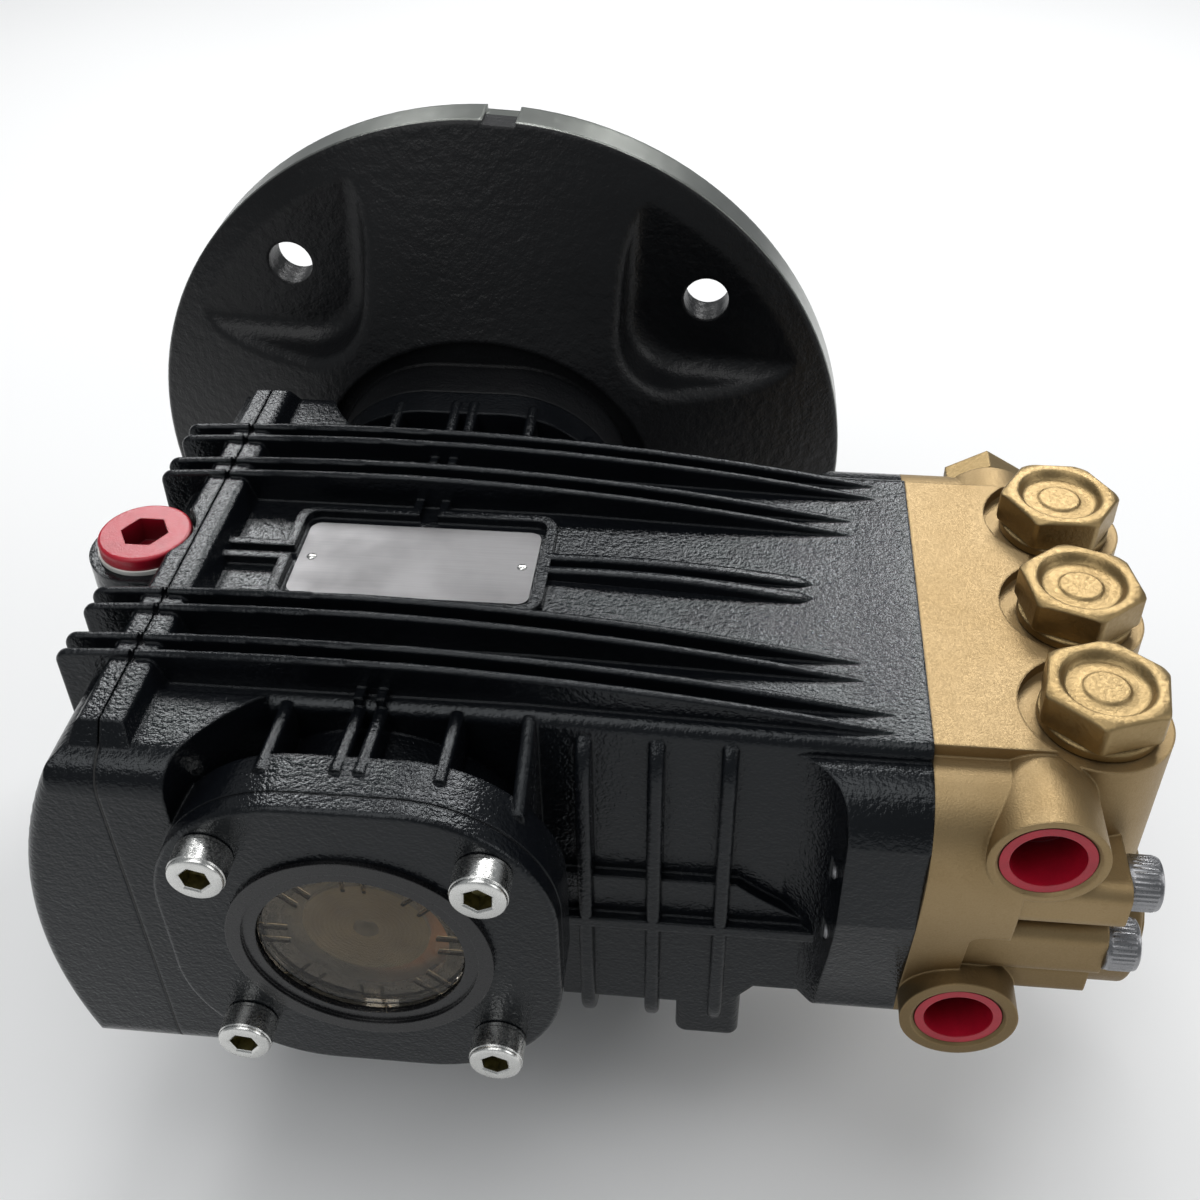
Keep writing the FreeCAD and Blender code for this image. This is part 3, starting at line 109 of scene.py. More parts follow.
class Look:
    """One procedural material: a shader and short ways to add noise, bump and colour to it."""

    def __init__(self, name, color, roughness, metallic=0.0):
        self.material = bpy.data.materials.new(name)
        self.material.use_nodes = True
        self.tree = self.material.node_tree
        self.shader = self.tree.nodes["Principled BSDF"]
        self.set("Base Color", (*color, 1.0))
        self.set("Roughness", roughness)
        self.set("Metallic", metallic)
        self.place = self.node("ShaderNodeTexCoord").outputs["Object"]
        self.normal = None

    def node(self, kind, **settings):
        made = self.tree.nodes.new(kind)
        for key, value in settings.items():
            setattr(made, key, value)
        return made

    def link(self, source, target):
        self.tree.links.new(source, target)

    def set(self, name, value):
        self.shader.inputs[name].default_value = value

    def noise(self, size, detail=2.0, roughness=0.5, stretch=None):
        """Noise whose grains are about as wide as size."""
        noise = self.node("ShaderNodeTexNoise")
        noise.inputs["Scale"].default_value = 1.0 / size
        noise.inputs["Detail"].default_value = detail
        noise.inputs["Roughness"].default_value = roughness
        place = self.place
        if stretch:
            mapping = self.node("ShaderNodeMapping")
            mapping.inputs["Scale"].default_value = stretch
            self.link(place, mapping.inputs["Vector"])
            place = mapping.outputs["Vector"]
        self.link(place, noise.inputs["Vector"])
        return noise.outputs["Fac"]

    def ramp(self, source, span, values=(0.0, 1.0)):
        """Map a span of the source to a span of values, held at both ends."""
        mapped = self.node("ShaderNodeMapRange", clamp=True)
        for name, value in zip(("From Min", "From Max", "To Min", "To Max"), (*span, *values)):
            mapped.inputs[name].default_value = value
        self.link(source, mapped.inputs["Value"])
        return mapped.outputs["Result"]

    def math(self, operation, first, second=None):
        made = self.node("ShaderNodeMath", operation=operation)
        for index, value in enumerate((first, second)):
            if value is None:
                continue
            if isinstance(value, (int, float)):
                made.inputs[index].default_value = value
            else:
                self.link(value, made.inputs[index])
        return made.outputs["Value"]

    def blend(self, amount, first, second):
        """A colour between two colours, or between a colour and another mix."""
        made = self.node("ShaderNodeMix", data_type="RGBA")
        self.link(amount, made.inputs["Factor"])
        for socket, value in ((made.inputs["A"], first), (made.inputs["B"], second)):
            if isinstance(value, tuple):
                socket.default_value = (*value, 1.0)
            else:
                self.link(value, socket)
        return made.outputs["Result"]

    def between(self, amount, first, second):
        """A value between two values."""
        made = self.node("ShaderNodeMix", data_type="FLOAT")
        for name, source in (("Factor", amount), ("A", first), ("B", second)):
            self.link(source, made.inputs[name])
        return made.outputs["Result"]

    def color(self, source):
        self.link(source, self.shader.inputs["Base Color"])

    def roughness(self, source):
        self.link(source, self.shader.inputs["Roughness"])

    def bump(self, height, distance):
        made = self.node("ShaderNodeBump")
        made.inputs["Distance"].default_value = distance
        self.link(height, made.inputs["Height"])
        if self.normal is not None:
            self.link(self.normal, made.inputs["Normal"])
        self.normal = made.outputs["Normal"]
        self.link(self.normal, self.shader.inputs["Normal"])

    def rounded(self, radius):
        made = self.node("ShaderNodeBevel", samples=BEVEL_SAMPLES)
        made.inputs["Radius"].default_value = radius
        return made.outputs["Normal"]

    def soft_edges(self, radius):
        self.normal = self.rounded(radius)
        self.link(self.normal, self.shader.inputs["Normal"])

    def edge_mask(self, radius):
        """Near 1 along edges, from how far a rounded normal leans from the flat one."""
        flat = self.node("ShaderNodeNewGeometry").outputs["Normal"]
        dot = self.node("ShaderNodeVectorMath", operation="DOT_PRODUCT")
        self.link(self.rounded(radius), dot.inputs[0])
        self.link(flat, dot.inputs[1])
        return self.ramp(dot.outputs["Value"], EDGE_LEAN)

    def hollow_mask(self, distance, openness, most):
        """Grows to its most where walls stand closer than a distance round a hollow."""
        hollow = self.node("ShaderNodeAmbientOcclusion", samples=HOLLOW_SAMPLES)
        hollow.inputs["Distance"].default_value = distance
        return self.ramp(hollow.outputs["AO"], openness, (0.0, most))

    def axis(self, name):
        split = self.node("ShaderNodeSeparateXYZ")
        self.link(self.place, split.inputs["Vector"])
        return split.outputs[name]

    def crank_reach(self):
        """Distance from the crank's axis."""
        x, z = self.axis("X"), self.axis("Z")
        return self.math("SQRT", self.math("ADD", self.math("MULTIPLY", x, x), self.math("MULTIPLY", z, z)))

    def turned_circles(self, reach, spacing):
        """Waves of -1 to 1 round the crank's axis, as a lathe leaves them."""
        return self.math("SINE", self.math("MULTIPLY", reach, FULL_TURN / spacing))


# Where the flange is bare metal: its rim, from just behind the painted front, and its motor side
RIM_REACH = (0.11385, 0.1141)
RIM_FRONT = (-0.0124, -0.0120)
MOTOR_SIDE = (-0.0047, -0.0043)

# Heights between which brass takes painted shade, darker from about the crank's axis down
BRASS_SHADE_SPAN = (0.008, -0.030)


def powder_coat(name, base, roughness):
    """Black powder coat: fine speckled grain, blotchy gloss and slightly worn edges."""
    worn_black = (0.030, 0.031, 0.035)
    look = Look(name, base, roughness)
    look.soft_edges(0.0010)
    look.set("Specular IOR Level", 0.31)
    look.set("Specular Tint", (0.92, 0.97, 1.0, 1.0))
    cloud = look.noise(size=0.035, detail=3.0)
    speckle = look.noise(size=0.00095, roughness=0.6)
    peel = look.noise(size=0.0024, detail=1.0)
    scuffs = look.ramp(look.noise(size=0.009, detail=3.0), (0.5, 0.75), (0.0, 0.4))
    worn = look.math("MULTIPLY", look.edge_mask(0.0006), scuffs)
    toned = look.blend(look.ramp(cloud, (0.35, 0.7)), base, shade(base, 1.5, lift=0.001))
    look.color(look.blend(worn, toned, worn_black))
    blotches = look.ramp(cloud, (0.3, 0.75), (roughness - 0.04, roughness + 0.06))
    look.roughness(look.math("ADD", blotches, look.ramp(speckle, (0.4, 0.7), (-0.04, 0.08))))
    look.bump(peel, 0.00012)
    look.bump(speckle, 0.00019)
    return look.material


def cast_flange(name, base, roughness):
    """Rougher cast black on the flange, with a bare turned rim and motor face."""
    light_black = (0.0085, 0.0088, 0.0098)
    dark_metal, light_metal, tarnished = (0.30, 0.31, 0.29), (0.37, 0.38, 0.36), (0.20, 0.215, 0.19)
    look = Look(name, base, roughness)
    look.set("Specular IOR Level", 0.27)
    look.soft_edges(0.0016)
    lumps = look.noise(size=0.0030, detail=3.0, roughness=0.55)
    grain = look.noise(size=0.0008)
    cloud = look.noise(size=0.05)
    paint = look.blend(look.ramp(cloud, (0.35, 0.7)), base, light_black)
    reach, y = look.crank_reach(), look.axis("Y")
    rim = look.math("MULTIPLY", look.ramp(reach, RIM_REACH), look.ramp(y, RIM_FRONT))
    bare = look.math("MAXIMUM", rim, look.ramp(y, MOTOR_SIDE))
    circles = look.turned_circles(reach, 0.0013)
    turned = look.ramp(look.math("ADD", circles, look.noise(size=0.004)), (-1.0, 2.0))
    tarnish = look.ramp(look.noise(size=0.05, detail=4.0, roughness=0.6), (0.40, 0.75), (0.0, 0.55))
    metal = look.blend(tarnish, look.blend(turned, dark_metal, light_metal), tarnished)
    look.color(look.blend(bare, paint, metal))
    look.link(bare, look.shader.inputs["Metallic"])
    painted_part = look.ramp(cloud, (0.3, 0.75), (roughness - 0.10, roughness))
    turned_part = look.ramp(turned, (0.3, 0.7), (roughness - 0.14, roughness))
    look.roughness(look.between(bare, painted_part, turned_part))
    cast_part = look.ramp(bare, (0.0, 1.0), (1.0, 0.08))
    look.bump(look.math("MULTIPLY", circles, bare), 0.000012)
    look.bump(look.math("MULTIPLY", lumps, cast_part), 0.00035)
    look.bump(look.math("MULTIPLY", grain, cast_part), 0.00010)
    return look.material


def brass(name, base, dark, roughness, grain, depth, grime_and_shade):
    """Bead-blasted or machined brass with faint stains, painted highlights along its edges, painted shade
    towards the bottom, and hollows darkened by grime and painted shade.
    """
    look = Look(name, base, roughness, metallic=1.0)
    look.soft_edges(0.0008)
    cloud = look.noise(size=0.03, detail=4.0, roughness=0.6)
    speck = look.noise(size=grain * 4.0)
    fine = look.noise(size=grain, roughness=0.6)
    toned = look.blend(look.ramp(cloud, (0.4, 0.75)), base, dark)
    toned = look.blend(look.ramp(speck, (0.62, 0.75), (0.0, 0.35)), toned, dark)
    # Painted shade: brass darker towards the bottom, where the head's lower parts stand in shade
    low_shade = look.ramp(look.axis("Z"), BRASS_SHADE_SPAN, (0.0, 0.80))
    toned = look.blend(low_shade, toned, shade(dark, 0.62))
    # Painted shade mixed with grime: darker brass where the walls of a hollow close in
    toned = look.blend(look.hollow_mask(0.004, (0.85, 0.35), grime_and_shade), toned, shade(dark, 0.42))
    # Painted highlight: lighter brass along the rounded edges
    edge_highlight = look.math("MULTIPLY", look.edge_mask(0.0007), 0.6)
    look.color(look.blend(edge_highlight, toned, shade(base, 1.18)))
    look.roughness(look.ramp(fine, (0.3, 0.7), (roughness - 0.06, roughness + 0.08)))
    look.bump(fine, depth)
    return look.material


def steel(name, base, roughness):
    """Plated or ground steel with fine marks and a few dull spots."""
    look = Look(name, base, roughness, metallic=1.0)
    look.soft_edges(0.0003)
    cloud = look.noise(size=0.004, detail=3.0)
    marks = look.noise(size=0.0005)
    look.color(look.blend(look.ramp(cloud, (0.5, 0.8), (0.0, 0.5)), base, shade(base, 0.72)))
    look.roughness(look.ramp(marks, (0.3, 0.7), (roughness - 0.07, roughness + 0.1)))
    look.bump(marks, 0.00002)
    return look.material


def plastic(name, base, roughness, hollow_shade=0.0):
    """Moulded plastic with a faint sheen, darker down in its hollows where a shade is given."""
    look = Look(name, base, roughness)
    look.soft_edges(0.0004)
    cloud = look.noise(size=0.006, detail=3.0)
    fine = look.noise(size=0.0005)
    toned = look.blend(look.ramp(cloud, (0.4, 0.75)), base, shade(base, 0.8))
    if hollow_shade > 0.0:
        deep = look.hollow_mask(0.012, (0.8, 0.3), hollow_shade)
        toned = look.blend(deep, toned, shade(base, 0.2))
    look.color(toned)
    look.roughness(look.ramp(fine, (0.3, 0.7), (roughness - 0.04, roughness + 0.06)))
    look.bump(fine, 0.00004)
    return look.material


def plate_metal(name):
    """Finely brushed plate metal, brushed along the pump, with a few dull smudges."""
    dark, light, smudge = (0.145, 0.143, 0.145), (0.21, 0.207, 0.21), (0.11, 0.108, 0.11)
    look = Look(name, light, roughness=0.42, metallic=1.0)
    strokes = look.noise(size=0.00016, stretch=(0.01, 1.0, 1.0))
    cloud = look.noise(size=0.02, detail=3.0)
    toned = look.blend(strokes, dark, light)
    look.color(look.blend(look.ramp(cloud, (0.4, 0.8), (0.0, 0.6)), toned, smudge))
    look.roughness(look.ramp(cloud, (0.3, 0.7), (0.36, 0.48)))
    look.bump(strokes, 0.00001)
    return look.material


def see_through(look, bend):
    """Let light pass, bent by an index of refraction, with next to no mirror image of the studio."""
    look.set("Transmission Weight", 1.0)
    look.set("IOR", bend)
    look.set("Specular Tint", (0.08, 0.08, 0.08, 1.0))


def clear_plastic(name):
    look = Look(name, color=(0.93, 0.86, 0.74), roughness=0.05)
    see_through(look, bend=1.58)
    look.bump(look.noise(size=0.006), 0.00005)
    return look.material


def oil(name):
    """Clear amber oil between the window and the end of the shaft."""
    pale, amber = (0.94, 0.87, 0.74), (0.88, 0.76, 0.55)
    look = Look(name, pale, roughness=0.02)
    see_through(look, bend=1.47)
    look.color(look.blend(look.ramp(look.noise(size=0.02), (0.35, 0.7)), pale, amber))
    look.bump(look.noise(size=0.01), 0.00003)
    return look.material


def oily_steel(name):
    """The end of the shaft behind the window: turned rings under brown oil."""
    light, dark = (0.27, 0.250, 0.175), (0.21, 0.188, 0.125)
    look = Look(name, light, roughness=0.60, metallic=1.0)
    rings = look.turned_circles(look.crank_reach(), 0.0011)
    cloud = look.noise(size=0.010, detail=3.0)
    look.color(look.blend(look.ramp(cloud, (0.35, 0.7)), light, dark))
    look.roughness(look.ramp(cloud, (0.3, 0.7), (0.60, 0.72)))
    look.bump(rings, 0.000012)
    return look.material


def oily_cage(name):
    """The bearings: dark metal, with amber low on the head's side, where light comes through the oil."""
    dark, amber = (0.012, 0.010, 0.008), (0.42, 0.17, 0.045)
    look = Look(name, dark, roughness=0.3, metallic=0.6)
    cloud = look.noise(size=0.012, detail=3.0)
    low_right = look.math("SUBTRACT", look.axis("X"), look.math("MULTIPLY", look.axis("Z"), 0.55))
    patches = look.ramp(cloud, (0.30, 0.55), (0.45, 1.0))
    glow = look.math("MULTIPLY", look.ramp(low_right, (0.004, 0.022)), patches)
    look.color(look.blend(glow, dark, amber))
    look.roughness(look.ramp(cloud, (0.3, 0.7), (0.25, 0.45)))
    look.bump(look.noise(size=0.002), 0.00008)
    return look.material


def shaded_socket_floor(name):
    """The yellowish inside of a plated screw's socket, darker than the head: painted shade down in the
    socket.
    """
    light, dark = (0.32, 0.29, 0.15), (0.14, 0.13, 0.06)
    look = Look(name, light, roughness=0.38, metallic=1.0)
    look.color(look.blend(look.ramp(look.noise(size=0.0015, detail=3.0), (0.4, 0.7)), light, dark))
    look.bump(look.noise(size=0.0006), 0.00003)
    return look.material


LOOKS = {
    "case_paint": powder_coat("case_paint", base=(0.0028, 0.0034, 0.0046), roughness=0.17),
    "flange_paint": cast_flange("flange_paint", base=(0.0042, 0.0045, 0.0052), roughness=0.42),
    "gasket": plastic("gasket", base=(0.010, 0.010, 0.010), roughness=0.6),
    "white_washer": plastic("white_washer", base=(0.74, 0.74, 0.70), roughness=0.45),
    "red_plastic": plastic("red_plastic", base=(0.46, 0.007, 0.026), roughness=0.32, hollow_shade=0.95),
    "plate_metal": plate_metal("plate_metal"),
    "black_plastic": plastic("black_plastic", base=(0.006, 0.006, 0.007), roughness=0.24),
    "clear_plastic": clear_plastic("clear_plastic"),
    "bearing_steel": oily_cage("bearing_steel"),
    "shaft_steel": oily_steel("shaft_steel"),
    "seal_rubber": plastic("seal_rubber", base=(0.03, 0.022, 0.02), roughness=0.6),
    "head_brass": brass("head_brass", base=(0.360, 0.262, 0.138), dark=(0.30, 0.210, 0.102),
                        roughness=0.50, grain=0.0005, depth=0.00006, grime_and_shade=0.35),
    "cap_brass": brass("cap_brass", base=(0.36, 0.260, 0.126), dark=(0.28, 0.194, 0.086),
                       roughness=0.44, grain=0.0010, depth=0.00010, grime_and_shade=0.80),
    "zinc_screw": steel("zinc_screw", base=(0.72, 0.72, 0.70), roughness=0.24),
    "dark_screw": steel("dark_screw", base=(0.30, 0.30, 0.31), roughness=0.30),
}
# Painted shade for the insides of the plated screws' sockets
SOCKET_SHADE_LOOK = shaded_socket_floor("zinc_socket")
OIL_LOOK = oil("window_oil")


def dress_cad_nodes():
    for part in frame["record"]["subparts"]:
        piece = nodes[part["node"]]
        piece.data.materials.clear()
        piece.data.materials.append(LOOKS[part["material_slot"]])


# Meshes made of rings of points, each ring joined to the next by a band of faces. A crease is the
# angle in degrees from which an edge stays sharp.
RING_POINTS = 144
BOX_FACES = ((0, 1, 2, 3), (7, 6, 5, 4), (0, 4, 5, 1), (1, 5, 6, 2), (2, 6, 7, 3), (3, 7, 4, 0))


def ring_angles(points=RING_POINTS):
    return [FULL_TURN * index / points for index in range(points)]


def round_ring(reach):
    return [reach] * RING_POINTS


def hexagon_reach(angle, flats):
    """Distance from the centre of a hexagon to its side, in a given direction."""
    sector = math.radians(60.0)
    return flats / 2.0 / math.cos((angle % sector) - sector / 2.0)


def hexagon_ring(flats):
    return [hexagon_reach(angle, flats) for angle in ring_angles()]


def join_rings(mesh, rings, looped=False):
    """Add bands of faces between rings, and a cap at each end or a last band back to the first ring."""
    made = [[mesh.verts.new(place) for place in ring] for ring in rings]
    if looped:
        made.append(made[0])
    count = len(made[0])
    bands = []
    for lower, upper in zip(made, made[1:]):
        band = []
        for index in range(count):
            after = (index + 1) % count
            band.append(mesh.faces.new((lower[index], lower[after], upper[after], upper[index])))
        bands.append(band)
    if not looped:
        mesh.faces.new(list(reversed(made[0])))
        bands.append([mesh.faces.new(made[-1])])
    return bands


def add_piece(name, mesh, slot, crease=None, node=None):
    """Make a mesh a piece that rides on the housing, in place of a CAD node where one is named."""
    bmesh.ops.recalc_face_normals(mesh, faces=mesh.faces)
    data = bpy.data.meshes.new(name)
    mesh.to_mesh(data)
    mesh.free()
    data.materials.append(LOOKS[slot])
    data.shade_smooth()
    if crease is not None:
        data.set_sharp_from_angle(angle=math.radians(crease))
    piece = bpy.data.objects.new(name, data)
    bpy.context.scene.collection.objects.link(piece)
    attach(piece, "housing")
    if node:
        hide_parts(node)
    return piece


def add_skin(name, rings, slot, crease, node=None, looped=False):
    mesh = bmesh.new()
    join_rings(mesh, rings, looped)
    return add_piece(name, mesh, slot, crease, node)


def fastener_axis(node, along, height):
    """A point on a fastener's axis, a height below its outer end, and the fastener's length."""
    low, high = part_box(node)
    span = abs((high - low).dot(along))
    return (low + high) / 2.0 + along * (span / 2.0 - height), span


def rings_about(seat, along, across, profile, turn):
    """Rings of world points round an axis, from a profile of heights with the reach of each point."""
    other = along.cross(across)
    rings = []
    for height, reaches in profile:
        ring = []
        for angle, reach in zip(ring_angles(), reaches):
            sideways = across * (reach * math.cos(angle + turn))
            crossways = other * (reach * math.sin(angle + turn))
            ring.append(seat + along * height + sideways + crossways)
        rings.append(ring)
    return rings


# Socket head screws, measured from the seat of the head
HEAD_RADIUS = 0.0065
HEAD_HEIGHT = 0.008
HEAD_CREASE = 32.0
RIM_INSET = 0.0002
RIM_HEIGHT = 0.0012
KNURL_START = 0.0014
KNURL_DEPTH = 0.00022
KNURL_TEETH = 36
# The plain rim below and above the knurls: distance from that end of the head, and inset
SEAT_BEVEL = ((0.0, 0.0004), (0.0003, 0.0), (RIM_HEIGHT, 0.0))
TOP_BEVEL = ((RIM_HEIGHT, 0.0), (0.0007, 0.0), (0.0003, 0.0002), (0.0, 0.0007))
SHANK_RADIUS = 0.004
SHANK_BEVEL = 0.0006
TIP_SHARES = (0.2, 0.85)
SOCKET_FLATS = 0.006
SOCKET_DEPTH = 0.004
SOCKET_BEVEL = 0.0004
SOCKET_MOUTH = SOCKET_FLATS + 0.0010
SOCKET_POINT_RADIUS = 0.0012
SOCKET_POINT_DEPTH = 0.0006
# The last bands of a screw's mesh, which take the look of the socket's inside: on plated screws a darker,
# yellowish painted shade
SOCKET_BANDS = 3
# Screws of the side cover, as many on the flange, and bolts of the head. Each one stands turned a
# little more than the one before it, in radians.
COVER_SCREWS = 4
HEAD_BOLTS = 8
COVER_SCREW_TURN = 0.9
FLANGE_SCREW_TURN = 0.7
HEAD_BOLT_TURN = 0.8


def knurled_ring(depth):
    """A ring round the head with teeth of a given depth."""
    ring = []
    for index in range(RING_POINTS):
        phase = (index * KNURL_TEETH % RING_POINTS) / RING_POINTS
        ring.append(HEAD_RADIUS - depth * (0.5 + 0.5 * math.cos(FULL_TURN * phase)))
    return ring


def screw_profile(length, knurled):
    """Heights and reaches from the tip of the shank to the point of the socket."""
    rim = HEAD_RADIUS - RIM_INSET
    profile = [(-length, round_ring(SHANK_RADIUS * share)) for share in TIP_SHARES]
    profile.append((-length + SHANK_BEVEL, round_ring(SHANK_RADIUS)))
    profile.append((0.0, round_ring(SHANK_RADIUS)))
    for height, inset in SEAT_BEVEL:
        profile.append((height, round_ring(rim - inset)))
    side = knurled_ring(KNURL_DEPTH if knurled else 0.0)
    profile.append((KNURL_START, side))
    profile.append((HEAD_HEIGHT - KNURL_START, side))
    for drop, inset in TOP_BEVEL:
        profile.append((HEAD_HEIGHT - drop, round_ring(rim - inset)))
    for drop, flats in ((0.0, SOCKET_MOUTH), (SOCKET_BEVEL, SOCKET_FLATS), (SOCKET_DEPTH, SOCKET_FLATS)):
        profile.append((HEAD_HEIGHT - drop, hexagon_ring(flats)))
    profile.append((HEAD_HEIGHT - SOCKET_DEPTH - SOCKET_POINT_DEPTH, round_ring(SOCKET_POINT_RADIUS)))
    return profile


def make_screw(node, slot, axis, knurled, turn):
    """A socket head screw that replaces a CAD one, turned a little about its axis."""
    along = Vector(axis)
    across = Vector((0, 0, 1)).cross(along).normalized()
    seat, span = fastener_axis(node, along, HEAD_HEIGHT)
    profile = screw_profile(span - HEAD_HEIGHT, knurled)
    mesh = bmesh.new()
    bands = join_rings(mesh, rings_about(seat, along, across, profile, turn))
    for band in bands[-SOCKET_BANDS:]:
        for face in band:
            face.material_index = 1
    piece = add_piece(node + "_fine", mesh, slot, HEAD_CREASE, node)
    piece.data.materials.append(SOCKET_SHADE_LOOK if slot == "zinc_screw" else LOOKS[slot])


def make_screws():
    for index in range(1, COVER_SCREWS + 1):
        make_screw(f"side_cover_screw_{index}", "zinc_screw", (0, -1, 0), False, COVER_SCREW_TURN * index)
        make_screw(f"flange_screw_{index}", "dark_screw", (0, 1, 0), True, FLANGE_SCREW_TURN * index)
    for index in range(1, HEAD_BOLTS + 1):
        make_screw(f"head_bolt_{index}", "dark_screw", (1, 0, 0), True, HEAD_BOLT_TURN * index)


# Domed rivets of the rating plate
RIVET_RADIUS = 0.0013
RIVET_HEIGHT = 0.0006
RIVET_INSET = 0.0034
RIVET_SINK = 0.0001
RIVET_POINTS = 32
RIVET_LIFTS = [math.radians(18.0 * step) for step in range(6)]
RIVET_TOP_RADIUS = 0.00004


def make_rivets():
    """Two small domed rivets that hold the rating plate."""
    low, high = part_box("nameplate")
    middle_y = (low.y + high.y) / 2.0
    for number, x in enumerate((low.x + RIVET_INSET, high.x - RIVET_INSET), start=1):
        rings = []
        for lift in RIVET_LIFTS:
            reach = max(RIVET_RADIUS * math.cos(lift), RIVET_TOP_RADIUS)
            z = high.z - RIVET_SINK + RIVET_HEIGHT * math.sin(lift)
            rings.append([(x + reach * math.cos(angle), middle_y + reach * math.sin(angle), z)
                          for angle in ring_angles(RIVET_POINTS)])
        add_skin(f"plate_rivet_{number}", rings, "zinc_screw", crease=None)


# Valve caps, two for each plunger, measured from the seat of the collar
PLUNGERS = 3
CAP_CREASE = 26.0
DELIVERY_TURN = math.radians(20.0)
SUCTION_TURN = math.radians(15.0)
SPIGOT_LENGTH = 0.012
SPIGOT_RADIUS = 0.011
SPIGOT_BEVEL = 0.0006
SPIGOT_CORE = 0.0008
COLLAR_RADIUS = 0.014
COLLAR_TOP = 0.0027
COLLAR_BEVEL = 0.0004
COLLAR_TOP_INSET = 0.0003
HEX_FLATS = 0.027
HEX_CORNER = 0.01525
HEX_START = 0.0028
# The hexagon's rounded foot: rise and inset
HEX_FOOT = ((0.0, 0.0007), (0.0003, 0.0002), (0.0009, 0.0))
CAP_TOP = 0.0118
CROWN_RADIUS = 0.01419
CROWN_DEPTH = 0.0016
CROWN_SLOPE = 1.1
CROWN_STEPS = 8
EDGE_ROUNDING = 0.0007
DISH_LIP = 0.0112
DISH_LIP_WIDTH = 0.0010
DISH_FLOOR = 0.0090
DISH_DEPTH = 0.0022
DISH_STEPS = 12
BUTTON_RADIUS = 0.0053
# The button's soft side: rise from the dish, and reach past the button's radius
BUTTON_SIDE = ((0.0, 0.0007), (0.0001, 0.0002), (0.0004, 0.0), (0.0006, -0.0004))
BUTTON_HEIGHT = 0.0006
BUTTON_CORE = 0.0012


def cap_profile():
    """Heights and reaches of a cap: spigot, collar, rounded hexagon, soft dish and button."""
    outline = [
        (-SPIGOT_LENGTH, SPIGOT_CORE), (-SPIGOT_LENGTH, SPIGOT_RADIUS - SPIGOT_BEVEL),
        (-SPIGOT_LENGTH + SPIGOT_BEVEL, SPIGOT_RADIUS), (0.0, SPIGOT_RADIUS),
        (0.0, COLLAR_RADIUS - COLLAR_BEVEL), (COLLAR_BEVEL, COLLAR_RADIUS),
        (COLLAR_TOP - COLLAR_BEVEL, COLLAR_RADIUS), (COLLAR_TOP, COLLAR_RADIUS - COLLAR_TOP_INSET),
    ]
    profile = [(height, round_ring(reach)) for height, reach in outline]
    hexagon = [min(reach, HEX_CORNER) for reach in hexagon_ring(HEX_FLATS)]
    for rise, inset in HEX_FOOT:
        profile.append((HEX_START + rise, [reach - inset for reach in hexagon]))
    for step in range(CROWN_STEPS + 1):
        below = CROWN_DEPTH * (1.0 - step / CROWN_STEPS)
        rounding = EDGE_ROUNDING * max(0.0, 1.0 - below / EDGE_ROUNDING) ** 2
        limit = CROWN_RADIUS + below * CROWN_SLOPE
        profile.append((CAP_TOP - below, [min(reach, limit) - rounding for reach in hexagon]))
    profile.append((CAP_TOP, round_ring(DISH_LIP + DISH_LIP_WIDTH)))
    for step in range(DISH_STEPS + 1):
        share = step / DISH_STEPS
        drop = DISH_DEPTH * (0.5 - 0.5 * math.cos(math.pi * share))
        profile.append((CAP_TOP - drop, round_ring(DISH_LIP + (DISH_FLOOR - DISH_LIP) * share)))
    floor = CAP_TOP - DISH_DEPTH
    for rise, widening in BUTTON_SIDE:
        profile.append((floor + rise, round_ring(BUTTON_RADIUS + widening)))
    profile.append((floor + BUTTON_HEIGHT, round_ring(BUTTON_CORE)))
    return profile


def make_cap(node, axis, across, turn):
    along = Vector(axis)
    seat, _ = fastener_axis(node, along, CAP_TOP)
    rings = rings_about(seat, along, Vector(across), cap_profile(), turn)
    add_skin(node + "_fine", rings, "cap_brass", CAP_CREASE, node)


def make_caps():
    for index in range(1, PLUNGERS + 1):
        make_cap(f"delivery_cap_{index}", (0, 0, 1), (1, 0, 0), DELIVERY_TURN * index)
        make_cap(f"suction_cap_{index}", (1, 0, 0), (0, 0, 1), SUCTION_TURN * index)


# Window in the side cover: a clear disc with pairs of ribs behind it, the oil, and a black ring with
# pockets in the oil. Bevels are pairs of an inset and a depth.
WINDOW_RADIUS = 0.0243
WINDOW_POINTS = 240
WINDOW_CREASE = 20.0
DISC_CORE = 0.0005
GLASS_THICKNESS = 0.0032
GLASS_BEVELS = ((0.0003, 0.0003), (0.0002, 0.0002))
RIB_PAIRS = 8
RIB_PAIR_GAP = 0.0024
RIB_INNER = 0.0174
RIB_OUTER = 0.0240
RIB_WIDTH = 0.0009
RIB_DEPTH = 0.0021
RIB_DRAFT = 0.0002
RIB_SINK = 0.0001
OIL_RADIUS = WINDOW_RADIUS - 0.0001
OIL_BEVELS = ((0.0004, 0.0003), (0.0004, 0.0003))
OIL_FRONT_GAP = 0.0001
OIL_SHAFT_GAP = 0.0002
RETAINER_INNER = 0.0200
RETAINER_OUTER = 0.0240
RETAINER_CREASE = 30.0
RETAINER_GAP = 0.0004
RETAINER_BACK = 0.0003
POCKETS = 12
POCKET_INNER = 0.0208
POCKET_OUTER = 0.0230
POCKET_DRAFT = 0.0001
POCKET_FLOOR = 0.0007
POCKET_SPAN = (0.15, 0.85)


def circle_ring(y, reach):
    """A circle of points round the crank's axis."""
    angles = ring_angles(WINDOW_POINTS)
    return [Vector((reach * math.cos(angle), y, reach * math.sin(angle))) for angle in angles]


def disc_rings(front, back, reach, bevels):
    """Rings of a solid disc round the crank's axis, from its front to its back."""
    (front_inset, front_depth), (back_inset, back_depth) = bevels
    outline = ((front, DISC_CORE), (front, reach - front_inset), (front + front_depth, reach),
               (back - back_depth, reach), (back, reach - back_inset), (back, DISC_CORE))
    return [circle_ring(y, radius) for y, radius in outline]


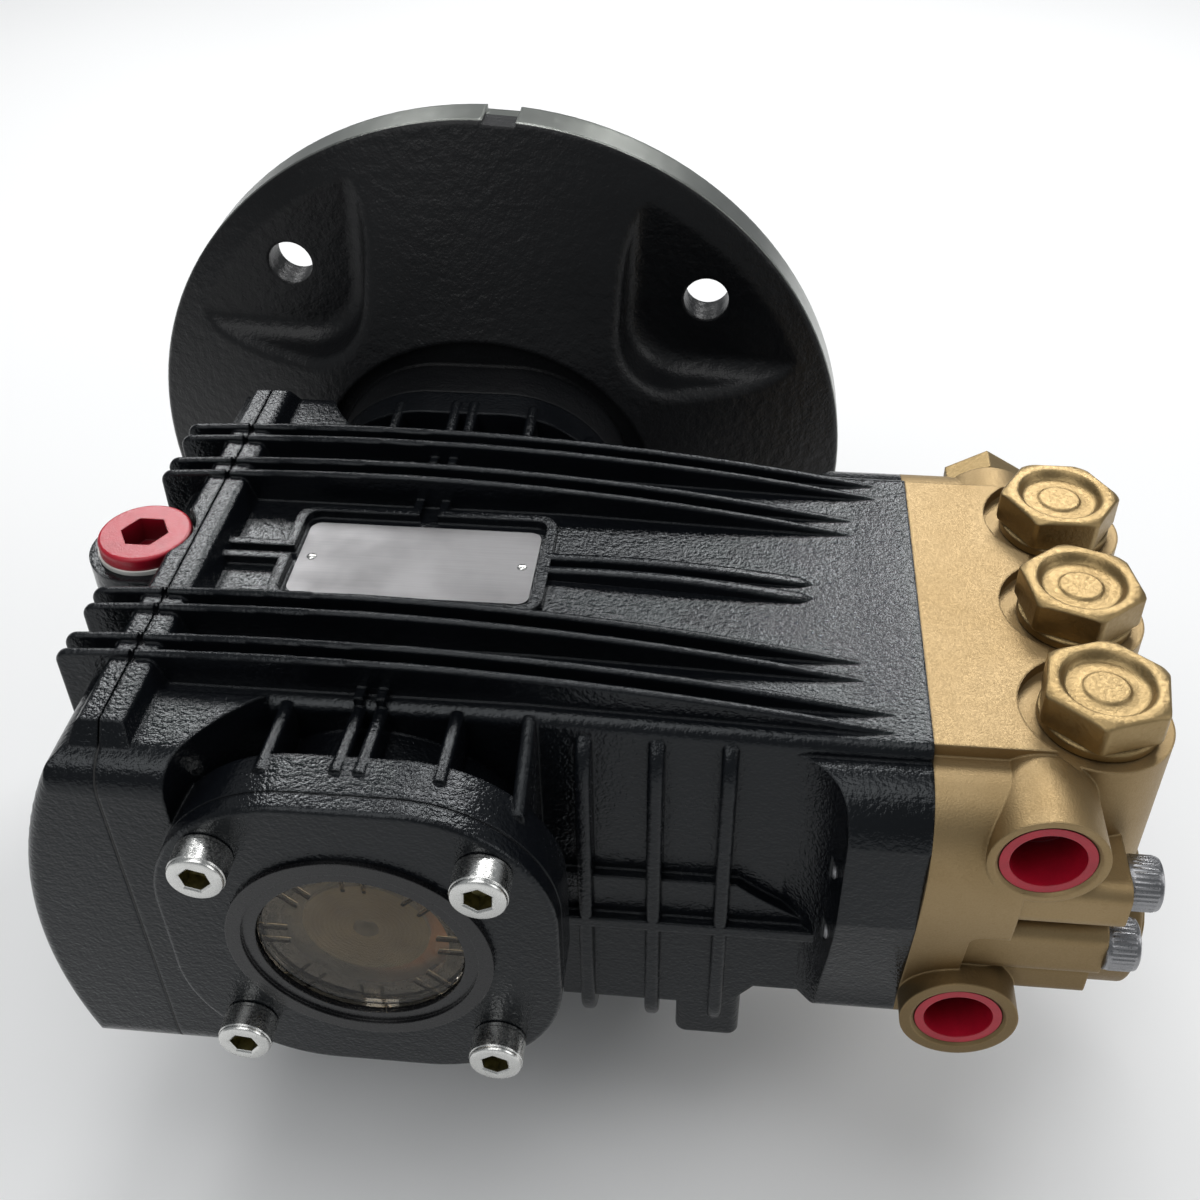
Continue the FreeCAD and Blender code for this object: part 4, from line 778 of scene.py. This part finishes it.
def window_rib(angle, side, back):
    """The eight corners of one rib of a pair, slimmer at its free end."""
    outward = Vector((math.cos(angle), 0.0, math.sin(angle)))
    aside = Vector((-math.sin(angle), 0.0, math.cos(angle)))
    corners = []
    for y, slim in ((back - RIB_SINK, 0.0), (back + RIB_DEPTH, RIB_DRAFT)):
        inner = RIB_INNER + slim
        for reach, half in ((inner, -1.0), (RIB_OUTER, -1.0), (RIB_OUTER, 1.0), (inner, 1.0)):
            offset = side * RIB_PAIR_GAP + half * (RIB_WIDTH / 2.0 - slim)
            place = outward * reach + aside * offset
            corners.append(Vector((place.x, y, place.z)))
    return corners


def make_glass(front, back):
    mesh = bmesh.new()
    join_rings(mesh, disc_rings(front, back, WINDOW_RADIUS, GLASS_BEVELS))
    for angle in ring_angles(RIB_PAIRS):
        for side in (-1.0, 1.0):
            corners = [mesh.verts.new(place) for place in window_rib(angle, side, back)]
            for face in BOX_FACES:
                mesh.faces.new([corners[index] for index in face])
    add_piece("sight_glass_fine", mesh, "clear_plastic", WINDOW_CREASE, "sight_glass")


def make_oil(front, back):
    rings = disc_rings(front, back, OIL_RADIUS, OIL_BEVELS)
    piece = add_skin("window_oil", rings, "clear_plastic", WINDOW_CREASE)
    piece.data.materials[0] = OIL_LOOK


def pocket_ring(y, floor, reach):
    """A circle that drops to the floor within each pocket."""
    ring = circle_ring(y, reach)
    for index, place in enumerate(ring):
        share = (index * POCKETS % WINDOW_POINTS) / WINDOW_POINTS
        if POCKET_SPAN[0] < share < POCKET_SPAN[1]:
            place.y = floor
    return ring


def make_retainer(front, back):
    floor = back - POCKET_FLOOR
    rings = [
        circle_ring(front, RETAINER_INNER), circle_ring(front, POCKET_INNER),
        pocket_ring(front, floor, POCKET_INNER + POCKET_DRAFT),
        pocket_ring(front, floor, POCKET_OUTER - POCKET_DRAFT),
        circle_ring(front, POCKET_OUTER), circle_ring(front, RETAINER_OUTER),
        circle_ring(back - RETAINER_BACK, RETAINER_OUTER),
        circle_ring(back - RETAINER_BACK, RETAINER_INNER),
    ]
    add_skin("window_retainer", rings, "black_plastic", RETAINER_CREASE, looped=True)


def make_window():
    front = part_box("sight_glass")[0].y
    back = front + GLASS_THICKNESS
    shaft_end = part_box("crankshaft")[0].y
    make_glass(front, back)
    make_oil(back + OIL_FRONT_GAP, shaft_end - OIL_SHAFT_GAP)
    make_retainer(back + RIB_DEPTH + RETAINER_GAP, shaft_end - OIL_SHAFT_GAP)


# Spine ribs in front of the rating plate
SPINE_START = 0.0336
SPINE_FULL = 0.0980
SPINE_TIP = 0.1020
SPINE_OFFSET = 0.0027
SPINE_TOP = 0.0478
SPINE_END_TOP = 0.0436
SPINE_ARC = 0.0015
SPINE_TIP_DROP = 0.0013
SPINE_ROOT = 0.0405
SPINE_FLARE = 0.0004
SPINE_HALF = 0.00125
SPINE_SPREAD = 0.0010
SPINE_THINNING = 0.85
SPINE_STEPS = 48
SPINE_CREASE = 60.0
# The rounded side of a rib: share of its half width, widening and drop below the top
SPINE_SIDE = ((1.0, 0.0001, 0.0012), (1.0, 0.0, 0.0004), (0.8, 0.0, 0.0001), (0.4, 0.0, 0.0))


def spine_section(inner, outer, top):
    """Outline of a rib as (offset, height): flared root, inner side, rounded top, outer side."""
    inner_side = [(-inner * share - widening, top - drop) for share, widening, drop in SPINE_SIDE]
    outer_side = [(outer * share + widening, top - drop) for share, widening, drop in reversed(SPINE_SIDE)]
    return [(-inner - SPINE_FLARE, SPINE_ROOT), *inner_side, *outer_side, (outer + SPINE_FLARE, SPINE_ROOT)]


def make_spine_ribs():
    """Two tall thin ribs that fall to the deck in an arc, end in points and spread a little."""
    for number, side in enumerate((-1.0, 1.0), start=1):
        rings = []
        for step in range(SPINE_STEPS + 1):
            x = SPINE_START + (SPINE_TIP - SPINE_START) * step / SPINE_STEPS
            along = max(0.0, (x - SPINE_START) / (SPINE_FULL - SPINE_START))
            ending = max(0.0, (x - SPINE_FULL) / (SPINE_TIP - SPINE_FULL))
            fall = (SPINE_TOP - SPINE_END_TOP) * min(along, 1.0)
            arc = SPINE_ARC * math.sin(math.pi * min(along, 1.0))
            top = SPINE_TOP - fall + arc - SPINE_TIP_DROP * ending
            thin = 1.0 - SPINE_THINNING * ending
            outer = (SPINE_HALF + SPINE_SPREAD * along ** 2) * thin
            section = spine_section(SPINE_HALF * thin, outer, top)
            rings.append([Vector((x, MIDDLE_Y + side * (SPINE_OFFSET + across), z))
                          for across, z in section])
        add_skin(f"spine_rib_{number}", rings, "case_paint", SPINE_CREASE)


# Stage: pale floor just under the lowest point, and a soft studio
FLOOR_GAP = 0.0005
FLOOR_REACH = 6.0
SKY_COLOR = (0.93, 0.97, 1.0)
SKY_STRENGTH = 0.26
# Each lamp's place, target, width and height, and power in watts
LAMPS = {
    "key": ((0.42, 0.85, 0.82), (0.08, -0.12, 0.0), (0.40, 0.34), 5.0),
    "key_left": ((-0.50, 0.85, 0.80), (0.0, -0.12, 0.0), (0.34, 0.30), 4.0),
    "key_middle": ((0.02, 1.00, 1.30), (0.05, -0.12, 0.0), (0.34, 0.30), 4.2),
    "top": ((0.0, -0.2, 2.0), (0.05, -0.13, 0.0), (1.2, 1.2), 9.5),
    "fill": ((-0.6, -1.1, 1.5), (0.0, -0.15, 0.0), (1.0, 1.0), 7.2),
    "side": ((1.2, -0.3, 0.7), (0.1, -0.15, 0.0), (0.5, 0.7), 2.5),
}


def floor_look():
    dim, bright = (0.87, 0.87, 0.87), (0.90, 0.90, 0.90)
    look = Look("floor", dim, roughness=0.8)
    look.set("Specular IOR Level", 0.2)
    look.color(look.blend(look.ramp(look.noise(size=0.5), (0.3, 0.7)), dim, bright))
    return look.material


def add_floor(height):
    mesh = bpy.data.meshes.new("floor")
    corners = [(-FLOOR_REACH, -FLOOR_REACH, height), (FLOOR_REACH, -FLOOR_REACH, height),
               (FLOOR_REACH, FLOOR_REACH, height), (-FLOOR_REACH, FLOOR_REACH, height)]
    mesh.from_pydata(corners, [], [(0, 1, 2, 3)])
    mesh.materials.append(floor_look())
    floor = bpy.data.objects.new("floor", mesh)
    bpy.context.scene.collection.objects.link(floor)


def add_lamp(name, place, target, size, watts):
    data = bpy.data.lights.new(name, "AREA")
    data.shape = "RECTANGLE"
    data.size, data.size_y = size
    data.energy = watts
    lamp = bpy.data.objects.new(name, data)
    lamp.location = place
    lamp.rotation_euler = (Vector(target) - Vector(place)).to_track_quat("-Z", "Y").to_euler()
    bpy.context.scene.collection.objects.link(lamp)


def add_light():
    world = bpy.data.worlds.new("studio")
    bpy.context.scene.world = world
    world.use_nodes = True
    background = world.node_tree.nodes["Background"]
    background.inputs["Color"].default_value = (*SKY_COLOR, 1.0)
    background.inputs["Strength"].default_value = SKY_STRENGTH
    for name, settings in LAMPS.items():
        add_lamp(name, *settings)


add_camera()
dress_cad_nodes()
make_screws()
make_rivets()
make_caps()
make_window()
make_spine_ribs()
add_floor(cad_box[0][2] - FLOOR_GAP)
add_light()
bpy.context.scene.view_settings.view_transform = "Standard"
